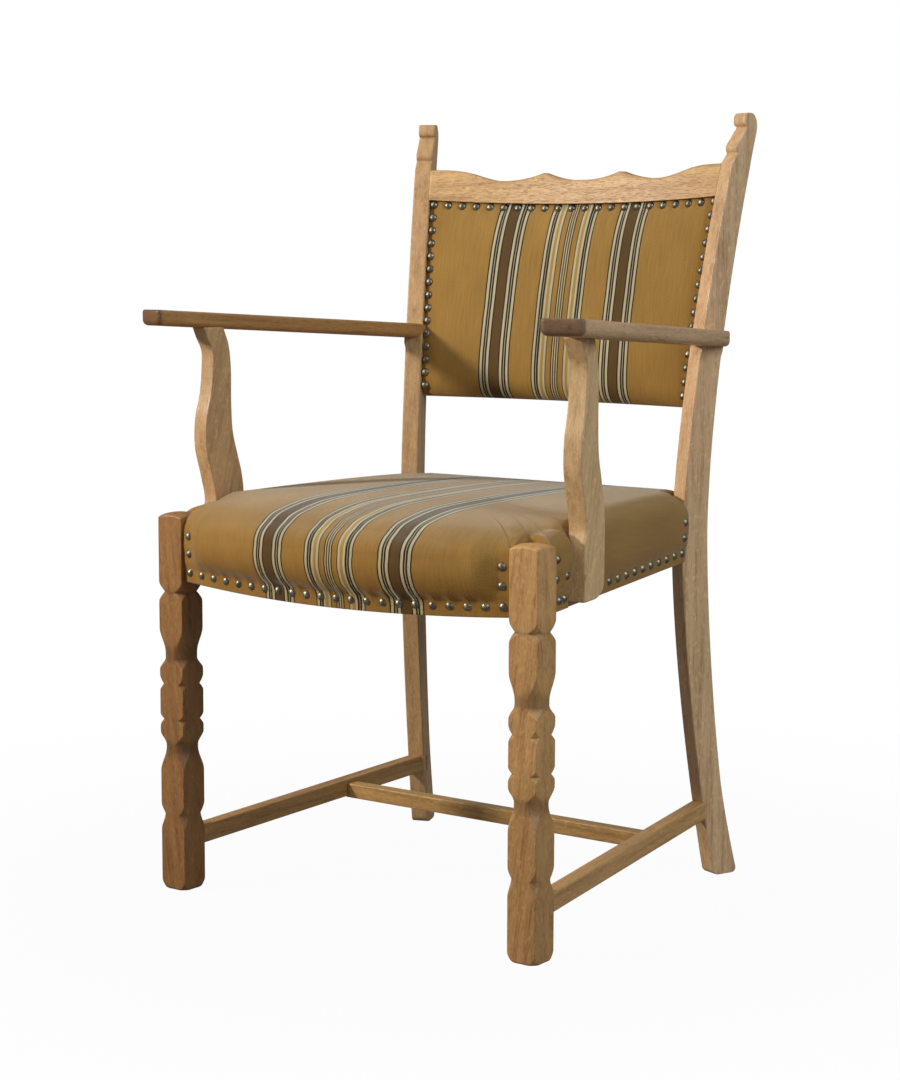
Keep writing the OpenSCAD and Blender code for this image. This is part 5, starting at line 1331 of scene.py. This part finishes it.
def lay_floor():
    """A flat square that falls away a little beyond 3 m, and a world that is white to the camera."""
    y, x = np.meshgrid(np.linspace(-6, 6, 13), np.linspace(-6, 6, 13), indexing="ij")
    far = np.clip(np.hypot(x, y) - 3.0, 0, None)
    i = np.arange(x.size).reshape(x.shape)
    quads = np.stack([i[:-1, :-1], i[:-1, 1:], i[1:, 1:], i[1:, :-1]], axis=-1).reshape(-1, 4)
    mesh = bpy.data.meshes.new("floor")
    mesh.from_pydata(grid(x, y, -0.0005 - 0.002 * far).reshape(-1, 3).tolist(), [], quads.tolist())
    mesh.shade_smooth()
    mesh.materials.append(shared("pale_floor", floor_material))
    floor = bpy.data.objects.new("floor", mesh)
    bpy.context.scene.collection.objects.link(floor)
    world = bpy.data.worlds.new("plain_white")
    bpy.context.scene.world = world
    g = Graph(world, "World")
    sky = g.add("Background", {0: (0.92, 0.96, 1.0, 1.0), 1: bpy.context.scene.armchair_stage.fill})
    white = g.add("Background", {0: (1.0, 1.0, 1.0, 1.0), 1: 1.0})
    seen = g.add("LightPath").outputs["Is Camera Ray"]
    g.show(g.add("MixShader", {0: seen, 1: sky.outputs[0], 2: white.outputs[0]}))


def set_camera(stage):
    """The camera's axes: a turn about the vertical, then the tilt, then the roll."""
    camera = bpy.data.cameras.new("camera")
    camera.lens, camera.sensor_width, camera.clip_end = stage.lens, 36.0, 50.0
    eye = bpy.data.objects.new("camera", camera)
    bpy.context.scene.collection.objects.link(eye)
    (sy, cy), (sp, cp), (sr, cr) = ((math.sin(a), math.cos(a))
                                    for a in (stage.yaw, stage.pitch, stage.roll))
    ahead, right, up = np.array([-sy, cy, 0]), np.array([cy, sy, 0]), np.array([0, 0, 1.0])
    look, above = ahead * cp - up * sp, ahead * sp + up * cp
    side, over = right * cr + above * sr, -right * sr + above * cr
    place = Matrix(np.column_stack([side, over, -look]).tolist()).to_4x4()
    place.translation = placed(EYE)
    eye.matrix_world = place
    bpy.context.scene.camera = eye


class ARMCHAIR_OT_stage(bpy.types.Operator):
    """Lay the pale floor, hang the soft lights and set the camera"""
    bl_idname = "armchair.stage"
    bl_label = "Stage"

    def execute(self, context):
        stage = context.scene.armchair_stage
        lay_floor()
        for name, (place, aim, size, share, color) in LIGHTS.items():
            soft_light(name, place, aim, size, stage.key * share, color)
        set_camera(stage)
        context.scene.view_settings.view_transform = "Standard"
        return {"FINISHED"}


class ARMCHAIR_PT_panel(bpy.types.Panel):
    """The armchair's builders and settings"""
    bl_label = "Armchair"
    bl_space_type = "VIEW_3D"
    bl_region_type = "UI"
    bl_category = "Armchair"

    def draw(self, context):
        for step in STEPS:
            self.layout.operator(step.bl_idname)
        for group in (context.scene.armchair_wood, context.scene.armchair_stage):
            box = self.layout.box()
            for key in group.__annotations__:
                box.prop(group, key)


STEPS = (ARMCHAIR_OT_legs, ARMCHAIR_OT_posts, ARMCHAIR_OT_crest, ARMCHAIR_OT_arms,
         ARMCHAIR_OT_stretchers, ARMCHAIR_OT_seat, ARMCHAIR_OT_back, ARMCHAIR_OT_finishes,
         ARMCHAIR_OT_stage)
CLASSES = (ArmchairWood, ArmchairStage) + STEPS + (ARMCHAIR_PT_panel,)


def register():
    for cls in CLASSES:
        bpy.utils.register_class(cls)
    bpy.types.Scene.armchair_wood = bpy.props.PointerProperty(type=ArmchairWood)
    bpy.types.Scene.armchair_stage = bpy.props.PointerProperty(type=ArmchairStage)


def unregister():
    del bpy.types.Scene.armchair_stage
    del bpy.types.Scene.armchair_wood
    for cls in reversed(CLASSES):
        bpy.utils.unregister_class(cls)


def main():
    register()
    bpy.ops.armchair.legs()
    bpy.ops.armchair.posts()
    bpy.ops.armchair.crest()
    bpy.ops.armchair.arms()
    bpy.ops.armchair.stretchers()
    bpy.ops.armchair.seat()
    bpy.ops.armchair.back()
    bpy.ops.armchair.finishes()
    bpy.ops.armchair.stage()


if __name__ == "__main__":
    main()
